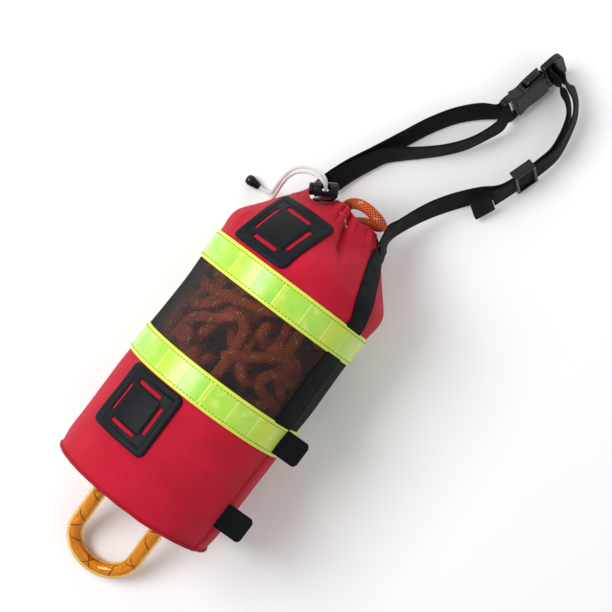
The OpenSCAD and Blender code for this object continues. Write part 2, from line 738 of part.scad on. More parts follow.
base_panel();
base_binding();
base_eyelets();
foam_float();
lower_shell();
mesh_panel();
upper_shell();
mouth_casing();
mouth_gather();
mouth_eyelet();
reflective_band(band_lower_y);  // reflective_band_lower
reflective_band(band_upper_y);  // reflective_band_upper
lash_patch(patch_lower_y, patch_turn_lower, 1);  // lash_patch_lower
lash_patch(patch_upper_y, patch_turn_upper, upper_lean);  // lash_patch_upper
side_tab(-88, 70.4, 107.2, 8);  // side_tab_lower
side_tab(-10.5, 70.4, 108.6, 14);  // side_tab_upper
side_webbing(0, true);  // side_webbing_right
side_webbing(left_turn, false);  // side_webbing_left
rope_pack();
rope_bight();
loop_knot();
drawcord_loop();
drawcord_tail(tail_a_route);  // drawcord_tail_a
drawcord_tail(tail_b_route);  // drawcord_tail_b
cord_end([-78.1, 163, 5.5], -90);  // cord_end_a
cord_end([-70.6, 142.4, 5], -146);  // cord_end_b
belt_root_left();
belt_root_right();
grab_loop_rope();
grab_loop_sleeve();
cord_lock_body();
cord_lock_spring();
cord_lock_button();
belt_strap_left();
belt_strap_right();
belt_strap_return();
strap_tail();
buckle_female();
buckle_male();
prong(-1);  // prong_left
prong(1);  // prong_right
male_strap_loop();
strap_slider();
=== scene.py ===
"""Throw rope bag lying on its back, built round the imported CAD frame.

Lengths in this script are millimetres in the CAD frame (+Y from the base to the mouth, +Z up)
and become metres where a mesh is made.
"""
import math

import bpy
import numpy as np
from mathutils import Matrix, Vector


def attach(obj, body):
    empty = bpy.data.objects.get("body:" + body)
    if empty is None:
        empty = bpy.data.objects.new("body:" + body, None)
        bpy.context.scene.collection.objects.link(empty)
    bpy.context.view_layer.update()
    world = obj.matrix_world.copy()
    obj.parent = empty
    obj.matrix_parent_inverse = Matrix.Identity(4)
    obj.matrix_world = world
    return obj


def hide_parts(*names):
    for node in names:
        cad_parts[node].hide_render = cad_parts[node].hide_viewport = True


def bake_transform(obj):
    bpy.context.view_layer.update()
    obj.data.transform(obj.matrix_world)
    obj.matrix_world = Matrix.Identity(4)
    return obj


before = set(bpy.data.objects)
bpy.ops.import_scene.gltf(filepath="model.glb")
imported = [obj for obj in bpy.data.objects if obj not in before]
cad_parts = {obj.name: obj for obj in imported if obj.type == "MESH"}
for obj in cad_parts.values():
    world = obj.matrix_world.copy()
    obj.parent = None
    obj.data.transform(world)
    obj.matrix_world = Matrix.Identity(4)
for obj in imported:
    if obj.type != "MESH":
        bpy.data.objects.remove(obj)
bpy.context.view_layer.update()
MM = 0.001
TAU = 2 * math.pi

# ---------- camera, floor and light ----------
VIEW_TURN = 37
VIEW_X, VIEW_Y, VIEW_HEIGHT = 19.6, 102.8, 1246
image_right = np.array([math.cos(math.radians(VIEW_TURN)), math.sin(math.radians(VIEW_TURN)), 0])
image_up = np.array([-image_right[1], image_right[0], 0])
middle = np.array([VIEW_X, VIEW_Y, 60])


def add_camera():
    """Looks straight down on the bag, turned so that the base is at the lower left."""
    data = bpy.data.cameras.new("camera")
    data.lens = 81.2
    camera = bpy.data.objects.new("camera", data)
    camera.location = (VIEW_X * MM, VIEW_Y * MM, VIEW_HEIGHT * MM)
    camera.rotation_euler = (0, 0, math.radians(VIEW_TURN))
    bpy.context.collection.objects.link(camera)
    bpy.context.scene.camera = camera


def add_area_light(name, offset_right, offset_up, height, size, power, colour=(1, 1, 1)):
    """A soft square light aimed at the middle of the bag."""
    data = bpy.data.lights.new(name, "AREA")
    data.size = size
    data.energy = power
    data.color = colour
    light = bpy.data.objects.new(name, data)
    place = middle + image_right * offset_right + image_up * offset_up + np.array([0, 0, height])
    light.location = place * MM
    light.rotation_euler = Vector(middle - place).to_track_quat("-Z", "Y").to_euler()
    bpy.context.collection.objects.link(light)


add_camera()
add_area_light("key_light", -900, 420, 1250, 0.9, 20)
add_area_light("fill_light", 1100, -300, 1100, 1.6, 4)
add_area_light("back_light", 200, 1500, 700, 1.2, 6)

world = bpy.data.worlds.new("studio")
world.use_nodes = True
world.node_tree.nodes["Background"].inputs["Color"].default_value = (1, 1, 1, 1)
world.node_tree.nodes["Background"].inputs["Strength"].default_value = 0.45
bpy.context.scene.world = world
bpy.context.scene.view_settings.view_transform = "Standard"


# ---------- materials ----------
class Shader:
    """A Principled material whose nodes are added by short calls."""

    def __init__(self, name, **constants):
        self.material = bpy.data.materials.new(name)
        self.material.use_nodes = True
        self.tree = self.material.node_tree
        self.surface = self.tree.nodes["Principled BSDF"]
        for socket, value in constants.items():
            self.surface.inputs[socket.replace("_", " ")].default_value = value

    def node(self, kind, output=0, inputs=None, **settings):
        made = self.tree.nodes.new("ShaderNode" + kind)
        for key, value in settings.items():
            setattr(made, key, value)
        for key, value in (inputs or {}).items():
            self.join(value, made.inputs[key])
        return made.outputs[output]

    def join(self, value, socket):
        if isinstance(value, bpy.types.NodeSocket):
            self.tree.links.new(value, socket)
        else:
            socket.default_value = value

    def maths(self, operation, a, b=0.0):
        return self.node("Math", inputs={0: a, 1: b}, operation=operation)

    def plus(self, a, b):
        return self.maths("ADD", a, b)

    def times(self, a, b):
        return self.maths("MULTIPLY", a, b)

    def mix(self, share, a, b):
        made = self.tree.nodes.new("ShaderNodeMix")
        made.data_type = "RGBA"
        self.join(share, made.inputs["Factor"])
        self.join(a, made.inputs["A"])
        self.join(b, made.inputs["B"])
        return made.outputs["Result"]

    def ramp(self, value, low, high):
        """Linear from 0 at low to 1 at high, held outside."""
        return self.node("MapRange", inputs={"Value": value, "From Min": low, "From Max": high})

    def place(self):
        return self.node("TexCoord", output=3)

    def lay(self):
        """The mesh's own lay in millimetres: along it, and across it."""
        split = self.tree.nodes.new("ShaderNodeSeparateXYZ")
        self.tree.links.new(self.node("UVMap", uv_map="lay"), split.inputs[0])
        return split.outputs[0], split.outputs[1]

    def noise(self, size, detail=3):
        """Noise whose features are about size millimetres across."""
        return self.node("TexNoise", inputs={
            "Vector": self.place(), "Scale": 1000 / size, "Detail": detail, "Roughness": 0.55,
        })

    def wave(self, value, pitch, phase=0.0):
        """A sine of period pitch, from 0 to 1."""
        turned = self.maths("MULTIPLY_ADD", value, TAU / pitch)
        turned.node.inputs[2].default_value = phase
        return self.plus(self.times(self.maths("SINE", turned), 0.5), 0.5)

    def colour(self, value):
        self.join(value, self.surface.inputs["Base Color"])

    def roughness(self, value):
        self.join(value, self.surface.inputs["Roughness"])

    def bump(self, height, depth):
        """Bumps of depth millimetres."""
        made = self.node("Bump", inputs={"Strength": 1.0, "Distance": depth * MM, "Height": height})
        self.join(made, self.surface.inputs["Normal"])


def linear(red, green, blue):
    """An sRGB colour out of 255 as linear RGBA."""
    parts = [c / 255 for c in (red, green, blue)]
    return tuple(c / 12.92 if c < 0.04045 else ((c + 0.055) / 1.055) ** 2.4 for c in parts) + (1,)


def darker(colour, share):
    return tuple(share * c for c in colour[:3]) + (1,)


def cordura(name, light, dark):
    """Coated nylon: a plain weave of fine yarns with a low sheen."""
    s = Shader(name, Sheen_Weight=0.04, Sheen_Roughness=0.5, Specular_IOR_Level=0.12)
    along, across = s.lay()
    weave = s.times(s.wave(along, 1.1), s.wave(across, 1.1))
    over = s.times(s.wave(along, 1.1, math.pi), s.wave(across, 1.1, math.pi))
    yarns = s.plus(weave, over)
    mottle = s.noise(30, 3)
    speck = s.noise(1.1, 3)
    both = s.plus(s.times(mottle, 0.5), s.times(speck, 0.8))
    base = s.mix(s.ramp(both, 0.45, 0.85), dark, light)
    s.colour(s.mix(s.times(yarns, 0.14), base, darker(dark, 0.6)))
    s.roughness(s.ramp(speck, -0.8, 1.2))
    s.bump(s.plus(yarns, s.times(speck, 1.2)), 0.24)
    return s.material


def webbing(name, light, dark):
    """Woven nylon tape: ribs across it, a finer chevron between them, and painted shade in the grooves."""
    s = Shader(name, Specular_IOR_Level=0.1)
    along, across = s.lay()
    chevron = s.maths("PINGPONG", across, 3.1)
    ribs = s.wave(s.plus(along, chevron), 1.7)
    yarns = s.wave(across, 1.55)
    height = s.plus(ribs, s.times(yarns, 0.5))
    wear = s.noise(9, 4)
    # painted shade: the grooves between the ribs are darker; the wear noise darkens the tape at random
    tone = s.times(s.ramp(height, 0.2, 1.5), s.ramp(wear, 0.2, 0.8))
    s.colour(s.mix(tone, dark, light))
    s.roughness(s.ramp(wear, -0.9, 1.4))
    s.bump(height, 0.3)
    return s.material


def braid(name, base, shade, fleck, lanes, strands, round_mm, pitch, tracer=False):
    """A round braid: two sets of yarns crossing over a tube of circumference round_mm.

    Flecks are where marked yarns of both sets cross; a tracer yarn shows along its whole length.
    """
    s = Shader(name, Specular_IOR_Level=0.2)
    along, across = s.lay()
    turn = s.times(across, strands / 2 / round_mm)
    run = s.maths("DIVIDE", along, pitch)
    forward, backward = s.plus(run, turn), s.maths("SUBTRACT", run, turn)
    crowns = [
        s.maths("SINE", s.times(s.maths("FRACT", way), math.pi)) for way in (forward, backward)
    ]
    height = s.times(crowns[0], crowns[1])
    mixed = s.mix(s.ramp(height, 0.05, 0.6), shade, base)
    marks = []
    for way, (every, wide) in zip((forward, backward), lanes):
        lane = s.maths("MODULO", s.maths("FLOOR", way), every)
        marks.append(s.maths("LESS_THAN", s.maths("ABSOLUTE", lane), wide))
    marked = s.maths("MAXIMUM" if tracer else "MULTIPLY", marks[0], marks[1])
    mixed = s.mix(s.times(marked, s.ramp(height, 0.1, 0.4)), mixed, fleck)
    grain = s.noise(1.2, 3)
    s.colour(s.mix(s.times(s.ramp(grain, 0.35, 0.8), 0.25), mixed, shade))
    s.roughness(s.ramp(grain, -0.8, 1.3))
    s.bump(s.plus(height, s.times(grain, 0.15)), 0.6)
    return s.material


def reflective(name):
    """Prismatic tape: cells with pale dividers between two plain sewn edges."""
    s = Shader(name, Coat_Weight=0.35, Coat_Roughness=0.2, Specular_IOR_Level=0.4)
    along, across = s.lay()
    cell = 23.0
    cells = s.maths("DIVIDE", along, cell)
    index = s.maths("FLOOR", cells)
    chance = s.node("TexWhiteNoise", inputs={"Vector": s.node("CombineXYZ", inputs={0: index})})
    cloud = s.noise(11, 2)
    tone = s.ramp(s.plus(chance, s.times(cloud, 0.9)), 0.45, 1.35)
    prism = s.mix(tone, linear(208, 224, 78), linear(146, 212, 70))
    offset = s.maths("ABSOLUTE", s.maths("SUBTRACT", s.maths("FRACT", cells), 0.5))
    divider = s.ramp(offset, 0.475, 0.49)
    prism = s.mix(divider, prism, linear(226, 240, 130))
    edge = s.ramp(s.maths("ABSOLUTE", across), 9.6, 9.9)
    glint = s.ramp(s.noise(17, 2), 0.6, 0.8)
    prism = s.mix(s.times(glint, 0.55), prism, linear(232, 244, 160))
    s.colour(s.mix(edge, prism, linear(204, 226, 66)))
    facets = s.times(s.maths("PINGPONG", along, 0.8), s.maths("PINGPONG", across, 0.8))
    flat = s.maths("SUBTRACT", 1.0, edge)
    relief = s.plus(s.times(facets, s.times(flat, 0.4)), s.times(divider, 0.6))
    s.bump(s.plus(relief, s.times(s.noise(6, 2), 0.4)), 0.25)
    s.roughness(s.mix(edge, (0.22, 0.22, 0.22, 1), (0.5, 0.5, 0.5, 1)))
    return s.material


def moulded(name, light, dark, roughness, grain_mm, depth, **constants):
    """Moulded plastic or rubber: a fine grain and slightly paler high spots."""
    s = Shader(name, **constants)
    grain = s.noise(grain_mm, 3)
    patchy = s.noise(12, 4)
    s.colour(s.mix(s.ramp(patchy, 0.3, 0.8), dark, light))
    s.roughness(s.plus(s.times(grain, 0.25), roughness - 0.12))
    s.bump(s.plus(grain, s.times(patchy, 0.6)), depth)
    return s.material


def metal(name, tint):
    """Plated metal with light brushing."""
    s = Shader(name, Metallic=1.0)
    scratch = s.noise(2.5, 5)
    s.colour(s.mix(s.ramp(scratch, 0.3, 0.8), darker(tint, 0.75), tint))
    s.roughness(s.plus(s.times(scratch, 0.2), 0.08))
    s.bump(scratch, 0.03)
    return s.material


def clear_tube(name):
    """Soft clear vinyl with a faint orange tint and a few scuffs."""
    s = Shader(name, Transmission_Weight=1.0, IOR=1.14, Coat_Weight=0.8, Coat_Roughness=0.08)
    scuff = s.noise(7, 4)
    s.colour(s.mix(s.ramp(scuff, 0.4, 0.8), linear(255, 212, 84), linear(255, 222, 104)))
    s.roughness(s.times(s.ramp(scuff, 0.3, 1.0), 0.3))
    s.bump(s.noise(16, 2), 0.25)
    return s.material


def netting(name):
    """Warp-knitted black mesh; its grain noise also paints pale specks of sheen on the yarns."""
    s = Shader(name, Specular_IOR_Level=0.5)
    grain = s.noise(1.1, 2)
    # painted sheen: the pale colour stands for light caught on glossy yarns, scattered by the grain noise
    s.colour(s.mix(s.ramp(grain, 0.35, 0.8), linear(12, 12, 12), linear(62, 58, 58)))
    s.roughness(s.ramp(grain, -0.6, 1.6))
    s.bump(grain, 0.1)
    return s.material


def floor_surface(name):
    s = Shader(name)
    s.colour(s.mix(s.noise(300, 2), (0.95, 0.95, 0.95, 1), (0.98, 0.98, 0.98, 1)))
    s.roughness(0.8)
    return s.material


ROPE_ROUND = math.pi * 9.5
LOOP_ROUND = math.pi * 10.4
CORD_ROUND = math.pi * 3
FLECKS = ((7, 0.5), (5, 1.5))
LOOKS = {name: kind(name, *values, **constants) for name, kind, values, constants in (
    ("red_cordura", cordura, [linear(208, 28, 58), linear(176, 19, 40)], {}),
    ("red_piping", cordura, [linear(184, 22, 42), linear(150, 15, 32)], {}),
    ("black_mesh", netting, [], {}),
    ("lime_reflective", reflective, [], {}),
    (
        "black_rubber", moulded, [linear(25, 27, 31), linear(16, 18, 21), 0.5, 0.9, 0.08],
        {"Specular_IOR_Level": 0.12},
    ),
    ("black_webbing", webbing, [linear(28, 30, 37), linear(8, 9, 12)], {}),
    ("throw_rope", braid, [
        linear(244, 112, 52), linear(104, 28, 12), linear(214, 178, 156), FLECKS, 20, ROPE_ROUND, 2.6,
    ], {}),
    ("loop_rope", braid, [
        linear(255, 232, 96), linear(246, 188, 50), linear(92, 62, 26), ((11, 0.5), (19, 0.5)), 20,
        LOOP_ROUND, 2.4,
    ], {"tracer": True}),
    ("clear_sleeve", clear_tube, [], {}),
    ("white_cord", braid, [
        linear(254, 253, 250), linear(228, 226, 220), linear(252, 252, 250), FLECKS, 12, CORD_ROUND,
        1.8,
    ], {}),
    (
        "black_plastic", moulded, [linear(18, 19, 23), linear(9, 10, 13), 0.26, 1.4, 0.03],
        {"Specular_IOR_Level": 0.3},
    ),
    ("bright_metal", metal, [linear(232, 234, 238)], {}),
    ("black_metal", moulded, [linear(40, 41, 44), linear(24, 25, 27), 0.3, 1.6, 0.03], {}),
    ("foam", moulded, [linear(226, 222, 208), linear(204, 198, 182), 0.85, 0.7, 0.3], {}),
)}
THREAD = moulded(
    "thread_black", linear(24, 24, 27), linear(12, 12, 15), 0.6, 0.4, 0.03, Specular_IOR_Level=0.15,
)
RED_THREAD = moulded("thread_red", linear(150, 18, 34), linear(120, 12, 26), 0.6, 0.4, 0.03)
GREEN_THREAD = moulded("thread_green", linear(96, 122, 40), linear(66, 92, 28), 0.6, 0.4, 0.03)


# ---------- meshes ----------
def grid(points, lay=None, around=False):
    """Quads over rows x columns of points. around joins the end of each row to its start."""
    rows, cols = points.shape[:2]
    if lay is None:
        down = np.linalg.norm(np.diff(points, axis=0), axis=2).mean(axis=1)
        step = np.concatenate([points, points[:, :1]], axis=1) if around else points
        over = np.linalg.norm(np.diff(step, axis=1), axis=2)
        across = np.concatenate([np.zeros((rows, 1)), np.cumsum(over, axis=1)], axis=1)
        along = np.concatenate([[0], np.cumsum(down)])
        lay = np.stack([np.repeat(along[:, None], across.shape[1], axis=1), across], axis=2)
    r = np.arange(rows - 1)[:, None]
    c = np.arange(cols if around else cols - 1)[None, :]
    corners = [(0, 0), (0, 1), (1, 1), (1, 0)]
    faces = np.stack([(r + dr) * cols + (c + dc) % cols for dr, dc in corners], axis=-1)
    width = lay.shape[1]
    spots = np.stack([(r + dr) * width + (c + dc) for dr, dc in corners], axis=-1)
    return {
        "points": points.reshape(-1, 3),
        "faces": faces.reshape(-1, 4),
        "lay": lay.reshape(-1, 2)[spots.reshape(-1, 4)],
    }


def cap(part, ring, flip=False):
    """A face that closes a ring of a grid's points."""
    order = list(ring)[::-1] if flip else list(ring)
    count = len(order)
    turn = np.arange(count) * TAU / count
    return {
        "points": part["points"][order],
        "faces": np.arange(count)[None, :],
        "lay": (np.stack([np.cos(turn), np.sin(turn)], axis=1) * 3)[None, :, :],
    }


def add_mesh(name, parts, material, smooth_angle=50):
    """One mesh object from parts, in metres."""
    points = np.concatenate([p["points"] for p in parts]) * MM
    offsets = np.cumsum([0] + [len(p["points"]) for p in parts[:-1]])
    loops = np.concatenate([(p["faces"] + o).ravel() for p, o in zip(parts, offsets)])
    sizes = np.concatenate([np.full(len(p["faces"]), p["faces"].shape[1]) for p in parts])
    lay = np.concatenate([p["lay"].reshape(-1, 2) for p in parts])
    mesh = bpy.data.meshes.new(name)
    mesh.vertices.add(len(points))
    mesh.vertices.foreach_set("co", points.astype(np.float32).ravel())
    mesh.loops.add(len(loops))
    mesh.loops.foreach_set("vertex_index", loops.astype(np.int32))
    mesh.polygons.add(len(sizes))
    starts = np.concatenate([[0], np.cumsum(sizes)[:-1]])
    mesh.polygons.foreach_set("loop_start", starts.astype(np.int32))
    mesh.update(calc_edges=True)
    layer = mesh.uv_layers.new(name="lay")
    layer.data.foreach_set("uv", lay.astype(np.float32).ravel())
    mesh.validate()
    mesh.polygons.foreach_set("use_smooth", [True] * len(mesh.polygons))
    if smooth_angle:
        mesh.set_sharp_from_angle(angle=math.radians(smooth_angle))
    mesh.materials.append(material)
    made = bpy.data.objects.new(name, mesh)
    bpy.context.collection.objects.link(made)
    return made


def make(name, parts, look, *replaces, body="bag", smooth_angle=50):
    """A piece on a body that stands for CAD nodes; its look names its material."""
    made = add_mesh(name, parts, LOOKS[look], smooth_angle)
    if body:
        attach(made, body)
    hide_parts(*replaces)
    return made


def sew(name, rows, thread, body="bag"):
    """Rows of stitches, on the body of the cloth they hold."""
    made = add_mesh(name, rows, thread)
    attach(made, body)


def unit(v):
    return v / np.linalg.norm(v, axis=-1, keepdims=True)


def between(a, b, knots, low, high, u):
    """Part of the way from a to b, as u is from one knot to another."""
    span = knots[high] - knots[low]
    return (knots[high] - u) / span * a + (u - knots[low]) / span * b


def smooth_route(points, step, extra=None):
    """A Catmull-Rom line through points, about step apart, with extra values carried along."""
    p = np.array(points, float)
    both = np.concatenate([p, p if extra is None else np.array(extra, float)], axis=1)
    padded = np.concatenate([[2 * both[0] - both[1]], both, [2 * both[-1] - both[-2]]])
    out = []
    for i in range(1, len(padded) - 2):
        q = padded[i - 1:i + 3]
        gaps = np.sqrt(np.linalg.norm(np.diff(q[:, :3], axis=0), axis=1)) + 1e-6
        t = np.concatenate([[0], np.cumsum(gaps)])
        count = max(1, round(np.linalg.norm(q[2, :3] - q[1, :3]) / step))
        u = t[1] + (t[2] - t[1]) * np.arange(count)[:, None] / count
        first = [between(q[k], q[k + 1], t, k, k + 1, u) for k in range(3)]
        second = [between(first[k], first[k + 1], t, k, k + 2, u) for k in range(2)]
        out.append(between(second[0], second[1], t, 1, 2, u))
    line = np.concatenate(out + [both[-1:]])
    return line[:, :3], line[:, 3:]


def sample(values, far, line):
    """Points of a line at values of far."""
    return np.stack([np.interp(values, far, line[:, i]) for i in range(3)], axis=1)


def lay_over(along, across):
    return np.stack(np.broadcast_arrays(along[:, None], across[None, :]), axis=2)


def distances(route):
    """How far along the route each of its points lies."""
    return np.concatenate([[0], np.cumsum(np.linalg.norm(np.diff(route, axis=0), axis=1))])


def line_length(route):
    return float(distances(route)[-1])


def tube(route, radius, sides=12, capped=True, inward=False):
    """A round tube along a route."""
    route = np.array(route, float)
    runs = unit(np.gradient(route, axis=0))
    side = np.cross(runs[0], [0, 0, 1] if abs(runs[0][2]) < 0.9 else [1, 0, 0])
    sides_at = []
    for run in runs:
        side = unit(side - (side @ run) * run)
        sides_at.append(side)
    first = np.array(sides_at)
    second = np.cross(runs, first)
    turn = np.arange(sides) * TAU / sides
    turn = turn[None, :, None]
    ring = np.cos(turn) * first[:, None] + np.sin(turn) * second[:, None]
    points = route[:, None] + radius * ring
    across = np.arange(sides + 1) / sides * TAU * radius
    part = grid(points, lay_over(distances(route), across), around=True)
    if inward:
        part["faces"] = part["faces"][:, ::-1]
        part["lay"] = part["lay"][:, ::-1]
    if not capped:
        return [part]
    last = (len(route) - 1) * sides
    return [part, cap(part, range(sides), True), cap(part, range(last, last + sides))]


def tape_section(width, thick, corner=0.45):
    """Outline of a tape's section, across and up, starting at its left top edge."""
    half = width / 2
    over = np.linspace(-half + corner, half - corner, 9)
    top = [(x, thick / 2) for x in over]
    right = [(half, thick * 0.22), (half, -thick * 0.22)]
    bottom = [(x, -thick / 2) for x in over[::-1]]
    left = [(-half, -thick * 0.22), (-half, thick * 0.22)]
    return np.array(top + right + bottom + left)


def tape(points, shape, far):
    """A closed tape from one ring of points for each distance in far."""
    ring = np.concatenate([shape[:, 0], shape[:1, 0]])
    part = grid(points, lay_over(far, ring), around=True)
    count, last = len(shape), (len(points) - 1) * len(shape)
    return [part, cap(part, range(count), True), cap(part, range(last, last + count))]


def ribbon(centres, acrosses, width, thick, start=0.0, share=1.0):
    """A tape along centres; across is the direction of its width at each, share how much of it."""
    runs = unit(np.gradient(centres, axis=0))
    across = unit(acrosses - np.sum(acrosses * runs, axis=1, keepdims=True) * runs)
    up = np.cross(across, runs)
    across = across * np.broadcast_to(share, len(centres))[:, None]
    shape = tape_section(width, thick)
    offsets = shape[None, :, :1] * across[:, None] + shape[None, :, 1:] * up[:, None]
    return tape(centres[:, None] + offsets, shape, start + distances(centres))


def stitches(route, normals, length=2.4, gap=1.0, radius=0.33):
    """A row of short rounded stitches along a route, each dipping into the cloth at its ends."""
    normals = unit(np.array(normals, float))
    far = distances(route)
    rise = np.array([-0.25, 0.096, 0.12, 0.096, -0.25])[:, None]
    parts = []
    for start in np.arange(0.5 * gap, far[-1] - length, length + gap):
        at = np.linspace(start, start + length, 5)
        parts += tube(sample(at, far, route) + sample(at, far, normals) * rise, radius, 6)
    return parts


# ---------- the bag's skin ----------
BAG_R, AXIS_H = 77.4, 73.0
BAND_T = 0.8
SHELL_START, TAPER_END = -112.8, -100.0
MESH_START, MESH_END = 2.0, 95.0
BAND_LOWER, BAND_UPPER, BAND_W = 0.0, 97.0, 27.0
CASING_START, MOUTH_Y = 172.5, 191.0
RADIUS_ROWS = [
    (-120, 75), (SHELL_START, 75), (TAPER_END, BAG_R), (95, BAG_R), (112, BAG_R), (124, 79),
    (133, 78.5), (150, 66), (163, 56), (176, 45), (191, 36), (200, 32),
]
HEIGHT_ROWS = [
    (-120, AXIS_H), (95, AXIS_H), (124, AXIS_H), (133, 72.5), (150, 65), (163, 58), (176, 50),
    (191, 44), (200, 42),
]
# Rows for the part under the upper patch, whose rubber bends in one wide curve
STIFF_RADIUS_ROWS = [
    (-120, BAG_R), (124, BAG_R), (136, 74), (150, 66.5), (163, 57.5), (176, 47.5), (191, 36),
]
STIFF_HEIGHT_ROWS = [
    (-120, AXIS_H), (112, AXIS_H), (124, 72.3), (136, 69.8), (150, 64.5), (163, 58), (176, 50.5),
    (191, 44),
]
profile_y = np.arange(-125, 205, 0.5)


def softened(rows, spread):
    """A profile through rows with its corners rounded off over spread millimetres."""
    y, value = zip(*rows)
    exact = np.interp(profile_y, y, value)
    reach = int(spread / 0.5)
    kernel = np.hanning(2 * reach + 3)[1:-1]
    padded = np.pad(exact, reach, mode="edge")
    return np.convolve(padded, kernel / kernel.sum(), mode="valid")


def value_at(profile, y):
    return np.interp(y, profile_y, profile)


radius_profile = softened(RADIUS_ROWS, 11)
height_profile = softened(HEIGHT_ROWS, 11)
stiff_radius = softened(STIFF_RADIUS_ROWS, 20)
stiff_height = softened(STIFF_HEIGHT_ROWS, 20)


def ripple(points, size, seed, count=20, stretch=(1, 1, 1)):
    """Smooth random waves about size millimetres across, near -1 to 1."""
    rng = np.random.default_rng(seed)
    waves = rng.normal(size=(count, 3))
    waves = waves / np.linalg.norm(waves, axis=1, keepdims=True)
    waves = waves * TAU / (size * rng.uniform(0.75, 1.5, size=(count, 1))) / np.array(stretch)
    return np.cos(points @ waves.T + rng.uniform(0, TAU, count)).sum(axis=-1) / math.sqrt(count)


def fade(value, low, high):
    """Smooth step from 0 at low to 1 at high."""
    t = np.clip((value - low) / (high - low), 0, 1)
    return t * t * (3 - 2 * t)


def mixed(a, b, share):
    return a * (1 - share) + b * share


PATCH_UPPER_Y, PATCH_UPPER_TURN, PATCH_UPPER_LEAN = 141.0, -31.5, 0.92
PATCH_LOWER_Y, PATCH_LOWER_TURN = -44.5, -31.0
EYELET_TURN, EYELET_Y = -37.8, 187.0
# Gathers: turn at the mouth, degrees it drifts for each millimetre, first y, depth and width
GATHERS = [
    (5.5, -0.28, 143, 11.0, 2.9), (-7.0, -0.18, 164, 5.6, 1.6), (-16.0, -0.05, 172, 2.4, 1.5),
    (20.0, -0.10, 172, 3.0, 2.0), (36.0, -0.02, 168, 2.2, 2.6), (52.0, 0.03, 160, 3.0, 2.8),
]
gather_rng = np.random.default_rng(7)
for gather_turn in np.arange(64, 330, 16.5):
    GATHERS.append((
        gather_turn + gather_rng.uniform(-4, 4), gather_rng.uniform(-0.1, 0.1),
        gather_rng.uniform(138, 168), gather_rng.uniform(2.4, 5.0), gather_rng.uniform(1.8, 3.0),
    ))


def angle_gap(turn, other):
    return (turn - other + 180) % 360 - 180


def arc_from(y, turn, other):
    """Millimetres round the bag from one turn to another."""
    return angle_gap(turn, other) * np.pi / 180 * value_at(radius_profile, y)


def held_flat(y, turn):
    """1 under the upper patch, falling to 0 away from it."""
    u = arc_from(y, turn, PATCH_UPPER_TURN)
    v = (y - PATCH_UPPER_Y) / PATCH_UPPER_LEAN
    return 1 - fade((np.abs(u) ** 4 + np.abs(v) ** 4) ** 0.25, 31, 45)


def under_eyelet(y, turn):
    """1 under the eyelet, falling to 0 away from it."""
    lean = 0.75
    far = np.hypot(arc_from(y, turn, EYELET_TURN), (y - EYELET_Y) / lean)
    return 1 - fade(far, 12, 19)


def pleats(y, turn):
    """How far the gathers push the cloth in or out: rounded ridges between sharp valleys."""
    depth = 0.9 * fade(y, 145, 184)
    for at, drift, first, deep, wide in GATHERS:
        gap = np.abs(arc_from(y, turn, at + drift * (y - 190)))
        depth = depth - deep * fade(y, first, first + 18) * np.exp(-((gap / wide) ** 1.6))
    at, drift = GATHERS[0][:2]
    span = arc_from(y, turn, at + drift * (y - 190))
    grow = fade(y, 140, 162)
    depth = depth + grow * 2.6 * np.exp(-(((span - 8) / 4.5) ** 2))
    return depth + grow * 1.3 * np.exp(-(((span + 7) / 4.0) ** 2))


def lumps(y, turn):
    """Unevenness of the filled bag, outward positive."""
    t = np.radians(turn)
    r = value_at(radius_profile, y)
    place = np.stack([r * np.sin(t), y, r * np.cos(t)], axis=-1)
    soft = 0.8 * ripple(place, 95, 3) + 0.25 * ripple(place, 40, 5)
    crease = ripple(place, 26, 11, stretch=(1, 3.2, 1))
    near_base = 0.16 * np.exp(-(y - SHELL_START) / 9) * ripple(place, 12, 13)
    shoulder = fade(y, 112, 134) * (1 - fade(y, 172, 188))
    folds = shoulder * (0.5 * ripple(place, 34, 17, stretch=(1, 2.4, 1)) + 0.35 * crease)
    tight = sum(0.7 * np.exp(-((y - band) / 16) ** 2) for band in (BAND_LOWER, BAND_UPPER))
    calm = 1 - tight
    low = fade(-np.cos(t), 0.70, 0.86)
    return (soft * calm + near_base + folds) * (1 - low)


def skin(y, turn, off=0.0, with_pleats=True):
    """The bag's surface in millimetres, turn in degrees from the top towards +X."""
    y, turn, off = np.broadcast_arrays(np.asarray(y, float), np.asarray(turn, float), off)
    t = np.radians(turn)
    hold, seat = held_flat(y, turn), under_eyelet(y, turn)
    uneven = lumps(y, turn) + (pleats(y, turn) if with_pleats else 0)
    r = mixed(value_at(radius_profile, y), value_at(stiff_radius, y), hold)
    r = r + off + uneven * (1 - hold) * (1 - seat) - 1.6 * seat
    height = mixed(value_at(height_profile, y), value_at(stiff_height, y), hold)
    floor = np.maximum(BAND_T - off, 0.45)
    z = height + r * np.cos(t)
    z = floor + 1.1 * np.logaddexp(0, (z - floor) / 1.1)
    dip = fade(y, 148, 172) * (1 - 0.55 * fade(y, 173, 191))
    sag = -9.5 * dip * (1 - hold) * np.exp(-(angle_gap(turn, 16) / 15) ** 2)
    sag = sag + fade(y, 172, 191) * (1 - seat) * (1 - hold) * (
        2.0 * np.exp(-(angle_gap(turn, -14) / 20) ** 2)
        - 5.0 * np.exp(-(angle_gap(turn, 85) / 40) ** 2)
        + 0.8 * np.sin(np.radians(turn * 7 + 40))
    )
    return np.stack([r * np.sin(t), y + sag, z], axis=-1)


def outward(y, turn, off=0.0):
    """Direction away from the bag's skin."""
    step = 0.5
    along = skin(np.asarray(y) + step, turn, off) - skin(np.asarray(y) - step, turn, off)
    over = skin(y, np.asarray(turn) + step, off) - skin(y, np.asarray(turn) - step, off)
    return unit(np.cross(over, along))


def around_bag(y_rows, off, columns, first_y=0.0):
    """A closed wrap of the skin through y_rows; off is one number or one for each row."""
    turn = np.arange(columns) * 360 / columns
    y = np.asarray(y_rows, float)
    offs = np.broadcast_to(off, y.shape)
    points = skin(y[:, None], turn[None, :], offs[:, None])
    across = np.arange(columns + 1) / columns * TAU * BAG_R
    return grid(points, lay_over(y - first_y, across), around=True)


